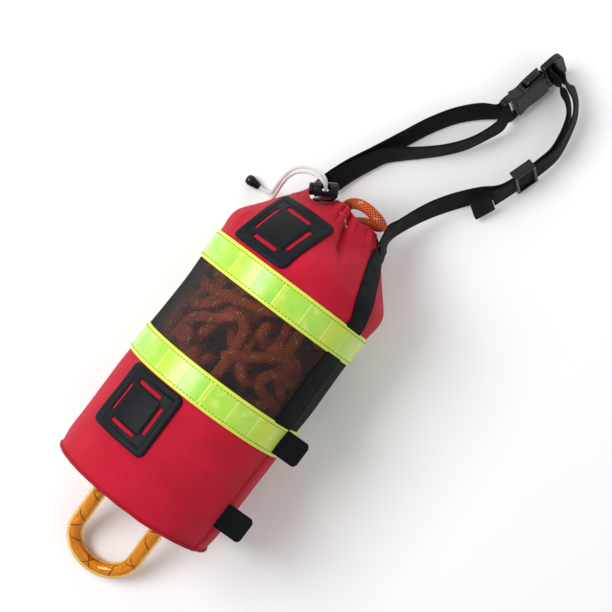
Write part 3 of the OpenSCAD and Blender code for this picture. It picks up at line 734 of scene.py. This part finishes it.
def thicken(made, thickness):
    """Gives a sheet its thickness, for good."""
    solid = made.modifiers.new("thickness", "SOLIDIFY")
    solid.thickness = thickness * MM
    solid.offset = -1.0
    solid.use_even_offset = False
    evaluated = made.evaluated_get(bpy.context.evaluated_depsgraph_get())
    mesh = bpy.data.meshes.new_from_object(evaluated)
    made.modifiers.clear()
    made.data = mesh


SEAM_TURN = 61.5
SHELL_COLUMNS, SHOULDER_COLUMNS, BASE_COLUMNS, BASE_RINGS = 400, 560, 240, 36
full_turn = np.linspace(0, 360, 481)


def add_lower_shell():
    """The lower half of the bag, with its side seam and the turned edge at the base."""
    y = np.concatenate([
        np.linspace(SHELL_START, TAPER_END, 16), np.linspace(TAPER_END + 0.9, MESH_START, 96),
    ])
    part = around_bag(y, 0.0, SHELL_COLUMNS)
    points = part["points"].reshape(len(y), SHELL_COLUMNS, 3)
    turn = np.arange(SHELL_COLUMNS) * 360 / SHELL_COLUMNS
    arc = angle_gap(turn, SEAM_TURN) * math.pi / 180 * BAG_R
    relief = 0.9 * np.exp(-((arc - 3.2) / 2.6) ** 4) - 0.8 * np.exp(-((arc + 0.4) / 0.8) ** 2)
    points += outward(y[:, None], turn[None, :]) * relief[None, :, None]
    shell = make("lower_shell_cloth", [part], "red_cordura", "lower_shell")
    thicken(shell, 1.0)
    rows = []
    for gap in (1.6, 5.4):
        where = np.linspace(TAPER_END - 6, BAND_LOWER - BAND_W / 2 - 1, 120)
        beside = SEAM_TURN + math.degrees(gap / BAG_R)
        rows += stitches(skin(where, beside, 0.85), outward(where, beside), radius=0.28)
    sew("lower_shell_stitches", rows, RED_THREAD)


def add_base():
    """The sewn-in base panel and the bound edge round it."""
    rings = np.linspace(0.02, 1, BASE_RINGS)
    turn = np.arange(BASE_COLUMNS) * 360 / BASE_COLUMNS
    edge = skin(SHELL_START, turn, -1.6, with_pleats=False)
    centre = np.array([0, 0, AXIS_H])
    flat = edge * np.array([1, 0, 1])
    points = centre + (flat - centre)[None] * rings[:, None, None]
    dome = -1.7 + 1.1 * rings[:, None] ** 6 + 0.35 * ripple(points, 45, 21) * (1 - rings[:, None] ** 4)
    pucker = 0.15 * rings[:, None] ** 10 * ripple(points, 10, 23)
    points[:, :, 1] = SHELL_START + np.minimum(dome + pucker, 0.4)
    lay = points[:, :, [0, 2]]
    lay = np.concatenate([lay, lay[:, :1]], axis=1)
    part = grid(points[::-1], lay[::-1], around=True)
    centre_face = cap(part, range((BASE_RINGS - 1) * BASE_COLUMNS, BASE_RINGS * BASE_COLUMNS))
    panel = make("base_panel_cloth", [part, centre_face], "red_cordura", "base_panel")
    fine = np.arange(480) * 360 / 480
    rim = skin(SHELL_START, fine, 0.2, with_pleats=False)
    rim[:, 1] = SHELL_START - 0.1 + 0.12 * ripple(rim, 14, 29)
    inward = unit((centre - rim) * np.array([1, 0, 1]))
    small = np.arange(10) * TAU / 10
    ring = (
        rim[:, None]
        + 1.5 * np.cos(small)[None, :, None] * inward[:, None] * -1
        + 1.5 * np.sin(small)[None, :, None] * np.array([0, 1, 0])
    )
    closed = np.concatenate([ring, ring[:1]])
    make("base_binding_cloth", [grid(closed, around=True)], "red_piping", "base_binding")


def add_mesh_panel():
    """Knitted mesh as a real net: a yarn round every square hole."""
    pitch, hole = 1.8, 0.37
    cols, rows = round(TAU * BAG_R / pitch), round((MESH_END - MESH_START) / pitch)
    r, c = np.meshgrid(np.arange(rows), np.arange(cols), indexing="ij")
    corner_r, corner_c = np.array([0, 0, 1, 1]), np.array([0, 1, 1, 0])

    def on_net(row, col, off):
        y = MESH_START + row / rows * (MESH_END - MESH_START)
        return skin(y, col / cols * 360, off).reshape(-1, 3)

    node_r, node_c = np.meshgrid(np.arange(rows + 1), np.arange(cols), indexing="ij")
    nodes = on_net(node_r, node_c, 0.15)
    inner_r = r[..., None] + 0.5 + (corner_r - 0.5) * 2 * hole
    inner_c = c[..., None] + 0.5 + (corner_c - 0.5) * 2 * hole
    outer = ((r[..., None] + corner_r) * cols + (c[..., None] + corner_c) % cols).reshape(-1, 4)
    inner = len(nodes) + np.arange(rows * cols * 4).reshape(-1, 4)
    faces = np.concatenate([
        np.stack([outer[:, k], outer[:, n], inner[:, n], inner[:, k]], axis=1)
        for k, n in ((0, 1), (1, 2), (2, 3), (3, 0))
    ])
    points = np.concatenate([nodes, on_net(inner_r, inner_c, -0.45)])
    part = {"points": points, "faces": faces, "lay": points[faces][:, :, [1, 0]]}
    panel = make("mesh_panel_net", [part], "black_mesh", "mesh_panel", smooth_angle=0)


def add_shoulder():
    """The gathered upper shell, the hem casing and the cloth drawn in to the neck."""
    y = np.concatenate([np.linspace(MESH_END, 128, 30), np.linspace(129, CASING_START + 1.5, 60)])
    shell = make("upper_shell_cloth", [around_bag(y, 0.0, SHOULDER_COLUMNS)], "red_cordura", "upper_shell")
    thicken(shell, 1.0)
    rise = 0.55
    y = np.array([
        CASING_START - 0.6, CASING_START, CASING_START + 1.2,
        *np.linspace(CASING_START + 2, 188.6, 26), 189.8, 190.6, MOUTH_Y, MOUTH_Y,
    ])
    off = np.array([-0.2, 0.35, rise, *[rise] * 26, 0.3, -0.4, -1.5, -2.6])
    hem = make("mouth_casing_cloth", [around_bag(y, off, SHOULDER_COLUMNS)], "red_cordura", "mouth_casing")
    thicken(hem, 0.8)
    steps = np.linspace(0, 1, 26)
    turn = np.arange(SHOULDER_COLUMNS) * 360 / SHOULDER_COLUMNS
    outer = skin(190.6, turn, -1.9)
    neck_r = 15.5 + 1.6 * ripple(outer, 11, 33)
    t = np.radians(turn)
    neck = np.stack([neck_r * np.sin(t), 181.5 + 0 * t, 46.5 + neck_r * np.cos(t)], axis=1)
    points = mixed(outer[None], neck[None], fade(steps, 0, 1)[:, None, None])
    points[:, :, 1] -= 2.8 * np.sin(math.pi * steps)[:, None] ** 0.7
    fold = ripple(outer, 10, 35)
    points[:, :, 1] += 1.1 * np.sin(math.pi * steps)[:, None] * fold[None]
    part = grid(points[::-1], around=True)
    gather = make("mouth_gather_cloth", [part], "red_cordura", "mouth_gather")
    rows = []
    hem_turns = np.linspace(0, 360, 900)
    lift = rise + 0.05
    for at in (CASING_START + 1.6, MOUTH_Y - 3.0):
        rows += stitches(skin(at, hem_turns, lift), outward(at, hem_turns, lift), 1.9, 0.9, 0.27)
    sew("mouth_casing_stitches", rows, RED_THREAD)


def add_band(node_name, centre):
    """A reflective band lying over the joint of two panels, sewn along both edges."""
    edge = BAND_W / 2
    inner = np.linspace(-edge + 1.5, edge - 1.5, 25)
    y = centre + np.array([-edge, -edge, -edge + 0.5, *inner, edge - 0.5, edge, edge])
    off = np.array([0.15, 1.2, 1.5, *[1.6] * 25, 1.5, 1.2, 0.15])
    part = around_bag(y, off, 480, first_y=centre)
    part["lay"] = part["lay"][:, :, ::-1]
    band = make(node_name + "_tape", [part], "lime_reflective", node_name, smooth_angle=35)
    rows = []
    for side in (-1, 1):
        at = centre + side * 10.4
        rows += stitches(skin(at, full_turn, 1.6), outward(at, full_turn, 1.6), 2.6, 0.8, 0.3)
    sew(node_name + "_stitches", rows, GREEN_THREAD)


PATCH_HALF, PATCH_CELLS, PATCH_CORNER = 30.0, 120, 6.0
PAD_HALF = 16.4
SLOT_HALF, SLOT_THIN, SLOT_AT = 13.0, 1.4, 18.8
SEW_HALF, SEW_CORNER = 27.6, 5.0


def round_corners(where, half, corner):
    """Draws points of a square of half width in to its rounded corners."""
    over = np.maximum(np.abs(where) - (half - corner), 0)
    beyond = np.linalg.norm(over, axis=-1, keepdims=True)
    pull = np.minimum(corner / np.maximum(beyond, 1e-6), 1)
    return np.sign(where) * (np.minimum(np.abs(where), half - corner) + over * pull), beyond[..., 0]


def patch_place(where, centre, turn, lean):
    """y and turn of places on a patch. Its middle line is straight in plan though the bag tapers."""
    y = centre + where[..., 1] * lean
    ends = np.array([centre - PATCH_HALF, centre + PATCH_HALF])
    x = value_at(stiff_radius, ends) * math.sin(math.radians(turn))
    middle_turn = np.degrees(np.arcsin(np.interp(y, ends, x) / value_at(stiff_radius, y)))
    return y, middle_turn + np.degrees(where[..., 0] / value_at(radius_profile, y))


def patch_height(u, v, beyond):
    """Thickness of the rubber over the square u, v, and where its slots are open."""
    inside = np.maximum(np.abs(u), np.abs(v))
    edge_gap = PATCH_CORNER - np.minimum(beyond, PATCH_CORNER)
    edge_gap = np.where(inside < PATCH_HALF - PATCH_CORNER, PATCH_HALF - inside, edge_gap)
    rim = 1.45 + 1.6 * np.sqrt(np.maximum(0, 1 - ((edge_gap - 3.2) / 3.6) ** 2))
    height = rim + 0.95 * fade(PAD_HALF - inside, 0, 1.3)
    height[edge_gap < 0.05] = 0.4
    in_slot = np.zeros_like(u, bool)
    sink = np.zeros_like(u)
    for a, b in ((u, v), (v, u)):
        for side in (-1, 1):
            over = np.maximum(np.abs(a) - (SLOT_HALF - SLOT_THIN), 0)
            gap = np.hypot(over, b - side * SLOT_AT)
            in_slot |= gap < SLOT_THIN
            sink = np.maximum(sink, 1 - fade(gap, SLOT_THIN, SLOT_THIN + 1.0))
    return height - 0.3 * sink, in_slot


def patch_stitches(centre, turn, lean):
    """The row of stitches inside the patch's rim."""
    ring = np.linspace(0, 1, 241)
    side = (ring * 4).astype(int) % 4
    start = np.array([[-1, -1], [1, -1], [1, 1], [-1, 1]])[side] * SEW_HALF
    step = np.array([[1, 0], [0, 1], [-1, 0], [0, -1]])[side]
    line = start + step * (SEW_HALF * 2 * (ring * 4 % 1))[:, None]
    line = round_corners(line, SEW_HALF, SEW_CORNER)[0]
    y, degrees = patch_place(line, centre, turn, lean)
    return stitches(skin(y, degrees, 2.75), outward(y, degrees, 2.8), 2.2, 1.0, 0.26)


def add_patch(name, centre, turn, lean):
    """A moulded lash patch with four slots, welded to the shell by its rim."""
    line = np.linspace(-PATCH_HALF, PATCH_HALF, PATCH_CELLS + 1)
    u, v = np.meshgrid(line, line)
    where, beyond = round_corners(np.stack([u, v], axis=2), PATCH_HALF, PATCH_CORNER)
    height, in_slot = patch_height(u, v, beyond)
    y, degrees = patch_place(where, centre, turn, lean)
    layers = [skin(y, degrees, height), skin(y, degrees, 0.05)]
    keep = ~(in_slot[:-1, :-1] | in_slot[1:, 1:] | in_slot[:-1, 1:] | in_slot[1:, :-1])
    wide = PATCH_CELLS + 1
    r, c = np.nonzero(keep)
    corners = ((0, 0), (0, 1), (1, 1), (1, 0))
    faces = [np.stack([(r + dr) * wide + c + dc for dr, dc in corners], axis=1)]
    filled = np.pad(keep, 1)
    for k, (dr, dc) in enumerate(((-1, 0), (0, 1), (1, 0), (0, -1))):
        beside = filled[1 + dr:wide + dr, 1 + dc:wide + dc]
        r, c = np.nonzero(keep & ~beside)
        ends = [(r + a) * wide + c + b for a, b in (corners[k], corners[(k + 1) % 4])]
        faces.append(np.stack([ends[1], ends[0], ends[0] + wide ** 2, ends[1] + wide ** 2], axis=1))
    faces = np.concatenate(faces)
    points = np.concatenate([layer.reshape(-1, 3) for layer in layers])
    flat = where[..., ::-1].reshape(-1, 2)
    lay = np.concatenate([flat, flat])[faces]
    used = np.unique(faces)
    renumber = np.zeros(len(points), int)
    renumber[used] = np.arange(len(used))
    part = {"points": points[used], "faces": renumber[faces], "lay": lay}
    make(name + "_moulded", [part], "black_rubber", name, smooth_angle=55)
    sew(name + "_stitches", patch_stitches(centre, turn, lean), THREAD)


def right_web_turn(y):
    """Turn of the side webbing on the tabs' side, which is straight in plan."""
    x = 62.3 - 20.3 * np.maximum(0, y - 116) / 60
    return np.degrees(np.arcsin(x / value_at(radius_profile, y)))


def left_web_turn(y):
    return np.full(len(y), -130.0)


def add_side_webbing(node_name, turn_at):
    """Webbing that runs from the lower band up to the mouth, sewn down along both edges."""
    width, thick, sewn_at = 24.0, 1.4, 10.0
    shape = tape_section(width, thick)
    parts, rows = [], []
    for first, last in ((BAND_LOWER + 12, BAND_UPPER - 12), (BAND_UPPER + 12, 178)):
        y = np.linspace(first, last, int((last - first) / 1.5))
        radius = value_at(radius_profile, y)
        lift = 0.15 + 0.95 * fade(y, 145, 184)
        off = lift[:, None] + thick / 2 + shape[None, :, 1]
        turns = turn_at(y)[:, None] + np.degrees(shape[None, :, 0] / radius[:, None])
        parts += tape(skin(y[:, None], turns, off, with_pleats=False), shape, y)
        for side in (-1, 1):
            edge = turn_at(y) + side * np.degrees(sewn_at / radius)
            line = skin(y, edge, lift + thick, with_pleats=False)
            rows += stitches(line, outward(y, edge), 2.2, 1.0, 0.28)
    make(node_name + "_tape", parts, "black_webbing", node_name)
    sew(node_name + "_stitches", rows, THREAD)


def add_tab(name, y0, x0, z0, droop):
    """A folded loop of webbing, its two layers sewn together where they enter the seam."""
    width, thick, corner, corner_at = 23.0, 1.6, 3.0, 19.0
    lean = math.radians(droop)
    path = [
        (-9, 2.45), (-4, 2.45), (2, 2.4), (8, 2.35), (14, 2.35), (18.5, 2.5), (20.9, 2.5), (21.9, 1.6),
        (20.9, 0.75), (18.5, 0.75), (14, 0.85), (8, 0.85), (2, 0.8), (-4, 0.75), (-9, 0.75),
    ]
    points = []
    for along, up in path:
        x = x0 + along * math.cos(lean) + up * math.sin(lean)
        z = z0 - along * math.sin(lean) + up * math.cos(lean)
        points.append((x, y0 + width / 2, z))
    across = [(0, 1, 0)] * len(points)
    centres, acrosses = smooth_route(points, 0.7, across)
    beyond = np.clip((centres[:, 0] - x0) / math.cos(lean) - corner_at, 0, corner)
    share = 1 - (corner - np.sqrt(corner ** 2 - beyond ** 2)) / (width / 2)
    parts = ribbon(centres, acrosses, width, thick - 0.1, share=share)
    make(name + "_webbing", parts, "black_webbing", name)
    rows = []
    top = 3.15
    normals = np.tile([math.sin(lean), 0, math.cos(lean)], (12, 1))
    for inset in (5.0, 8.0):
        y = np.linspace(y0 + 2.5, y0 + width - 2.5, 12)
        x = np.full(12, x0 + inset * math.cos(lean) + top * math.sin(lean))
        z = np.full(12, z0 - inset * math.sin(lean) + top * math.cos(lean))
        rows += stitches(np.stack([x, y, z], axis=1), normals, 2.2, 1.0, 0.28)
    sew(name + "_stitches", rows, THREAD)


# ---------- cords ----------
CORD_D = 3.0
TAIL_A = [
    (-25.2, 189.2, 76.4), (-26.4, 191.1, 83.7), (-27.4, 192.8, 90.3), (-28.4, 194.4, 96.5),
    (-31, 196.5, 100.5), (-36, 198.2, 102), (-43, 197.8, 99.5), (-50, 195.5, 94), (-56, 191.5, 86.5),
    (-60, 186, 77.5), (-62, 180, 68), (-63, 174.5, 58), (-63.5, 170, 47), (-64, 167, 36),
    (-65, 165, 25), (-67.5, 163.8, 15), (-72, 163.2, 8), (-78, 163, 5.5),
]
TAIL_B = [
    (-23.6, 186.6, 77.3), (-24.8, 188.5, 84.6), (-25.8, 190.2, 91.2), (-26.8, 191.8, 97.5),
    (-30, 193.5, 102), (-36, 194.7, 103), (-42.5, 194, 100), (-49, 191.5, 94), (-54.5, 187.5, 86),
    (-58, 182, 76.5), (-59.5, 176, 66.5), (-60, 170.5, 56), (-60.3, 165.5, 45), (-61, 161, 34),
    (-62.5, 157, 23), (-64.5, 152.5, 13), (-67, 147.5, 7), (-70.5, 142.5, 5),
]


def add_tail(points, node_name):
    """One tail of the drawcord, from the eyelet to its moulded end."""
    route, _ = smooth_route(points, 2.2)
    tail = make(node_name + "_cord", tube(route, CORD_D / 2), "white_cord", node_name)


def add_drawcord_loop():
    """The part of the drawcord inside the hem."""
    turn = np.linspace(0, 360, 361)
    line = skin(182.0, turn, -2.9)
    parts = tube(line, CORD_D / 2 - 0.1, 8, capped=False)
    make("drawcord_in_hem", parts, "white_cord", "drawcord_loop")


# ---------- throw rope ----------
ROPE_D = 9.5
BIGHT = [
    (-5, 173, 52), (-5, 180, 50), (-5, 188, 53), (-3, 195, 62), (3, 199, 70), (12, 200, 74),
    (21, 199, 73.5), (28, 197.5, 68), (30, 196.5, 60), (27.5, 195, 52), (20, 192.5, 46.5),
    (12, 188, 44.5), (7, 181, 46), (6, 173, 48),
]


def room_radius(y):
    """How far from the bag's axis the rope's centreline may lie."""
    room = np.minimum(value_at(radius_profile, y), value_at(stiff_radius, y))
    return room - 2.6 - ROPE_D / 2 - 1.5 * fade(y, 108, 124) - 18 * fade(y, 136, 154)


def packed_rope(length=21000.0, step=10.0, rounds=240):
    """A rope stuffed into the bag at random, relaxed until it lies beside itself.

    Points a step apart are pushed off each other, kept in the bag, and held at their spacing.
    """
    count = int(length / step)
    rng = np.random.default_rng(19)
    knots = count // 9
    free = rng.normal(size=(knots, 3))
    for i in range(1, knots):
        free[i] = 0.45 * free[i - 1] + 0.9 * free[i]
    reach = free / (np.linalg.norm(free, axis=1, keepdims=True) + 1e-9)
    reach = reach * rng.uniform(0, 1, (knots, 1)) ** 0.28
    lengthwise = (np.arange(knots) / knots) + 0.22 * rng.normal(size=knots)
    y = -60 + 222 * np.clip(lengthwise, 0.01, 0.99)
    r = room_radius(y)
    height = value_at(height_profile, y)
    coarse = np.stack([reach[:, 0] * r, y, height + reach[:, 2] * r], axis=1)
    fine = np.arange(count) / count * (knots - 1)
    line = sample(fine, np.arange(knots), coarse)
    index = np.arange(count)
    near = np.abs(index[:, None] - index[None, :]) <= 2
    for turn in range(rounds):
        for _ in range(6):
            gap = np.diff(line, axis=0)
            size = np.linalg.norm(gap, axis=1, keepdims=True) + 1e-9
            move = gap * (1 - step / size) * 0.5
            line[:-1] += move * 0.9
            line[1:] -= move * 0.9
        bow = line[2:] - line[:-2]
        size = np.linalg.norm(bow, axis=1, keepdims=True) + 1e-9
        short = np.maximum(0, 18.6 - size) / size * 0.5
        line[2:] += bow * short * 0.5
        line[:-2] -= bow * short * 0.5
        squares = (line ** 2).sum(axis=1)
        apart = np.maximum(squares[:, None] + squares[None, :] - 2 * line @ line.T, 1e-6)
        a, b = np.nonzero((apart < ROPE_D ** 2 * 1.05) & ~near)
        away = line[a] - line[b]
        size = np.linalg.norm(away, axis=1, keepdims=True) + 1e-6
        push = away / size * (ROPE_D * 1.02 - size) * 0.36
        shift = np.zeros_like(line)
        np.add.at(shift, a, push)
        hits = np.bincount(a, minlength=count)[:, None]
        line += shift / np.maximum(hits ** 0.5, 1)
        line[:, 1] = np.clip(line[:, 1], -66, 160)
        room = room_radius(line[:, 1])
        axis = value_at(height_profile, line[:, 1])
        away = np.stack([line[:, 0], line[:, 2] - axis], axis=1)
        size = np.linalg.norm(away, axis=1) + 1e-9
        outer = 0.25 if turn < rounds * 0.6 else 0.0
        away *= (np.minimum(size + outer, room) / size)[:, None]
        line[:, 0] = away[:, 0]
        line[:, 2] = np.maximum(away[:, 1] + axis, 4.0 + ROPE_D / 2)
    return line


def add_throw_rope():
    """The stuffed rope, and the bight of it that stands out of the mouth."""
    line = packed_rope()
    for _ in range(2):
        line[1:-1] = 0.25 * line[:-2] + 0.5 * line[1:-1] + 0.25 * line[2:]
    route, _ = smooth_route(line, 4.5)
    parts = tube(route, ROPE_D / 2, 10)
    make("throw_rope_packed", parts, "throw_rope", "rope_pack", smooth_angle=0)
    route, _ = smooth_route(BIGHT, 1.8)
    bight = make("throw_rope_bight", tube(route, ROPE_D / 2, 20), "throw_rope", "rope_bight")


# ---------- grab loop ----------
LOOP_X, LOOP_Z, LOOP_HALF, LOOP_LEG, PIVOT_Y = 3.5, 45.0, 30.6, 53.0, -122.4
LOOP_D, SLEEVE_D = 10.4, 14.6
DROOP = math.asin((LOOP_Z - SLEEVE_D / 2 - 0.2) / (LOOP_LEG + LOOP_HALF))


def loop_route(start):
    """Centreline of the grab loop from start millimetres inside the pivot, round and back."""
    bend = np.linspace(0, math.pi, 40)
    legs = np.linspace(0, LOOP_LEG, 24)
    inner = np.linspace(start, 0, 6)[:-1]
    local = [(LOOP_HALF, -s) for s in legs[:-1]]
    local += [(LOOP_HALF * math.cos(b), -LOOP_LEG - LOOP_HALF * math.sin(b)) for b in bend]
    local += [(-LOOP_HALF, -s) for s in legs[:-1][::-1]]
    out = [(LOOP_X + x, PIVOT_Y + y * math.cos(DROOP), LOOP_Z + y * math.sin(DROOP)) for x, y in local]
    first = [(LOOP_X + LOOP_HALF, PIVOT_Y + s, LOOP_Z) for s in inner]
    last = [(LOOP_X - LOOP_HALF, PIVOT_Y + s, LOOP_Z) for s in inner[::-1]]
    return first + out + last


def blended(made):
    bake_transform(made)


def add_grab_loop():
    """The yellow rope of the grab loop in its clear sleeve."""
    route, _ = smooth_route(loop_route(9.5), 2.0)
    parts = tube(route, LOOP_D / 2 - 0.05, 24)
    rope = make("grab_loop_braid", parts, "loop_rope", "grab_loop_rope", body=None)
    route, _ = smooth_route(loop_route(5.5), 2.0)
    sides = 28
    shell = tube(route, SLEEVE_D / 2, sides, capped=False)
    bore = tube(route, LOOP_D / 2 + 0.45, sides, capped=False, inward=True)
    ends = []
    for ring, flip in ((0, True), ((len(route) - 1) * sides, False)):
        pair = np.stack([shell[0]["points"][ring:ring + sides], bore[0]["points"][ring:ring + sides]])
        ends.append(grid(pair if flip else pair[::-1], around=True))
    parts = shell + bore + ends
    sleeve = make("grab_loop_tube", parts, "clear_sleeve", "grab_loop_sleeve", body=None)
    for made in (rope, sleeve):
        blended(made)


# ---------- belt ----------
WEB_W, WEB_T = 25.0, 1.6
BUCKLE_AT, BUCKLE_HEADING, BUCKLE_ROLL = np.array([57, 346, 18.2]), 12.0, 62.0
BAR_Y, MALE_BAR_Y = 3.5, 56.0
WRAP_R = 1.9 + 0.25 + WEB_T / 2


def frame_axes(heading, roll):
    h, r = math.radians(heading), math.radians(roll)
    x = np.array([math.cos(h) * math.cos(r), -math.sin(h) * math.cos(r), -math.sin(r)])
    y = np.array([math.sin(h), math.cos(h), 0])
    z = np.array([math.cos(h) * math.sin(r), -math.sin(h) * math.sin(r), math.cos(r)])
    return x, y, z


def strap_rows(rows):
    """Points and width directions from rows of x, y, z, heading and roll."""
    return [(np.array(row[:3], float), frame_axes(row[3], row[4])[0]) for row in rows]


def on_buckle(y, z, x=0.0):
    """A place in the buckle's own frame and the direction of the buckle's width."""
    fx, fy, fz = frame_axes(BUCKLE_HEADING, BUCKLE_ROLL)
    return (BUCKLE_AT + x * fx + y * fy + z * fz, fx)


def wrap(y, first, last):
    angles = np.radians(np.linspace(first, last, 9))
    return [on_buckle(y + WRAP_R * math.cos(a), WRAP_R * math.sin(a)) for a in angles]


ROOT_LEFT = [(-34.2, 178, 19.4, 8, 50), (-33.6, 184, 18.2, 9, 50), (-32.6, 191.2, 16.4, 12, 50)]
STRAP_LEFT = [
    (-29.5, 205, 13.4, 16, 51), (-23.5, 224, 12.2, 20, 56),
    (-12.5, 248, 12.2, 25, 60), (-0.5, 274, 12.3, 27, 62), (11.5, 299, 12.5, 30, 62),
    (25, 320, 13, 37, 62), (40, 335.5, 14.5, 42, 62),
]
STRAP_LEFT_BACK = [
    (61, 335, 18.6, 16, 68), (56, 321, 16, 24, 74), (47, 304, 14, 36, 74), (34, 288, 13.4, 44, 74),
    (20, 274.5, 13.4, 44, 72), (6, 262.5, 13.4, 38, 68), (-5.4, 251.5, 13.5, 30, 63),
    (-11, 242, 13.6, 25, 60), (-20.5, 222.4, 13.6, 20, 56), (-27.2, 204.6, 14.8, 16, 51),
]
ROOT_RIGHT = [
    (43.4, 175.6, 66.8, 2, 71), (43, 180, 61, 2, 72), (41.8, 186, 53, 2, 76),
    (40.2, 193.5, 42.5, 4, 75),
]
STRAP_RIGHT = [
    (41.1, 201.2, 34, 10, 72), (48, 220, 23.5, 20, 66), (58, 240, 17, 27, 60), (70, 258, 14.5, 33, 58),
    (84, 275.5, 15, 33, 61), (98, 291, 17, 20, 66), (111.4, 332.2, 17, 18, 66),
    (112.8, 345, 17.4, 0, 70), (109.5, 365, 18.4, -10, 72), (104, 379, 19.2, -25, 72),
    (95.5, 388, 20.4, -52, 68), (88, 391.6, 22, -66, 64),
]
STRAP_RETURN = [
    (89.5, 398.6, 24, -66, 64), (99, 393.8, 22.4, -50, 68), (108.2, 382.5, 20.8, -25, 72),
    (113.4, 366.5, 19.6, -10, 72), (116.2, 345.5, 18.6, 0, 70), (113.4, 331.6, 17.9, 18, 66),
    (100, 290.4, 17.9, 18, 66), (94.6, 279.2, 17.2, 26, 60),
]
TAIL = [(94.6, 279.2, 17.2, 26, 60), (90.5, 271, 16.4, 28, 56), (85.5, 262.5, 15.6, 30, 52)]


def strap_line(stations):
    points, acrosses = zip(*stations)
    return smooth_route(points, 2.2, acrosses)


def strap(stations, thick=WEB_T):
    return ribbon(*strap_line(stations), WEB_W, thick)


def add_belt():
    """Both straps, the male half's loop and the sewn end."""
    look = "black_webbing"
    stations = strap_rows(ROOT_LEFT + STRAP_LEFT) + [on_buckle(-2.5, -4.6)] + wrap(BAR_Y, -90, 90)
    stations += [on_buckle(-3, 4)] + strap_rows(STRAP_LEFT_BACK)
    left = make(
        "belt_strap_left_web", strap(stations), look, "belt_root_left", "belt_strap_left", body=None,
    )
    blended(left)
    stations = strap_rows(ROOT_RIGHT + STRAP_RIGHT)
    stations += [on_buckle(MALE_BAR_Y - WRAP_R, 13.5, 2.5), on_buckle(MALE_BAR_Y - WRAP_R, 6)]
    stations += wrap(MALE_BAR_Y, 180, 360)
    stations += [on_buckle(MALE_BAR_Y + WRAP_R, 6), on_buckle(MALE_BAR_Y + WRAP_R, 13.5, 2.5)]
    stations += strap_rows(STRAP_RETURN)
    centres, across = strap_line(stations)
    cut = int(np.argmax(centres[:, 1] > 202.3))
    root_parts = ribbon(centres[:cut + 1], across[:cut + 1], WEB_W, WEB_T)
    root = make("belt_root_right_web", root_parts, look, "belt_root_right", body=None)
    blended(root)
    start = line_length(centres[:cut + 1])
    right = make(
        "belt_strap_right_web", ribbon(centres[cut:], across[cut:], WEB_W, WEB_T, start), look,
        "belt_strap_right", "belt_strap_return", "male_strap_loop", body=None,
    )
    blended(right)
    step = np.array([0.9, -2.2, 0.4])
    layers = []
    for layer in (-1, 0, 1):
        stations = [(p + step + frame_axes(26, 58)[2] * layer * 1.5, a) for p, a in strap_rows(TAIL)]
        layers += strap(stations, thick=1.5)
    make("strap_tail_web", layers, look, "strap_tail", body="belt")
    fx, fy, fz = frame_axes(28, 56)
    rows = []
    for along in (-3.5, 0.0, 3.5):
        centre = np.array([TAIL[1][:3]]) + step + fz * 2.6 + fy * along
        line = centre + np.linspace(-10, 10, 12)[:, None] * fx
        rows += stitches(line, np.tile(fz, (12, 1)), 2.4, 1.0, 0.3)
    sew("strap_tail_stitches", rows, THREAD, "belt")


# ---------- carried-over CAD nodes ----------
def dress(node_name, look, soften=0.0):
    """A CAD node keeps its mesh and takes a material.

    Modifiers round its edges where soften, a voxel's size in millimetres, is given.
    """
    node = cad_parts[node_name]
    node.data.materials.clear()
    node.data.materials.append(LOOKS[look])
    if soften:
        remesh = node.modifiers.new("even", "REMESH")
        remesh.mode = "VOXEL"
        remesh.voxel_size = soften * MM
        remesh.use_smooth_shade = True
        smooth = node.modifiers.new("round", "SMOOTH")
        smooth.factor = 0.5
        smooth.iterations = 12


def dress_cad():
    for node_name, look in (
        ("foam_float", "foam"), ("base_eyelets", "black_metal"), ("mouth_eyelet", "bright_metal"),
        ("loop_knot", "loop_rope"), ("cord_end_a", "black_plastic"), ("cord_end_b", "black_plastic"),
        ("cord_lock_spring", "bright_metal"),
    ):
        dress(node_name, look)
    for node_name in ("buckle_female", "buckle_male", "prong_left", "prong_right", "strap_slider"):
        dress(node_name, "black_plastic", 0.45)
    for node_name in ("cord_lock_body", "cord_lock_button"):
        dress(node_name, "black_plastic", 0.28)


def add_floor():
    size = 6000
    line = np.linspace(-size, size, 3)
    x, y = np.meshgrid(line, line)
    points = np.stack([x, y, np.full_like(x, -0.4)], axis=2)
    ground = add_mesh("floor", [grid(points)], floor_surface("pale_floor"))


add_floor()
add_tail(TAIL_A, "drawcord_tail_a")
add_tail(TAIL_B, "drawcord_tail_b")
add_lower_shell()
add_base()
add_mesh_panel()
add_shoulder()
add_drawcord_loop()
add_band("reflective_band_lower", BAND_LOWER)
add_band("reflective_band_upper", BAND_UPPER)
add_patch("lash_patch_lower", PATCH_LOWER_Y, PATCH_LOWER_TURN, 1.0)
add_patch("lash_patch_upper", PATCH_UPPER_Y, PATCH_UPPER_TURN, PATCH_UPPER_LEAN)
add_side_webbing("side_webbing_right", right_web_turn)
add_side_webbing("side_webbing_left", left_web_turn)
add_tab("side_tab_lower", -88, 70.4, 107.2, 8)
add_tab("side_tab_upper", -10.5, 70.4, 108.6, 14)
add_throw_rope()
add_grab_loop()
add_belt()
dress_cad()

bpy.context.view_layer.update()
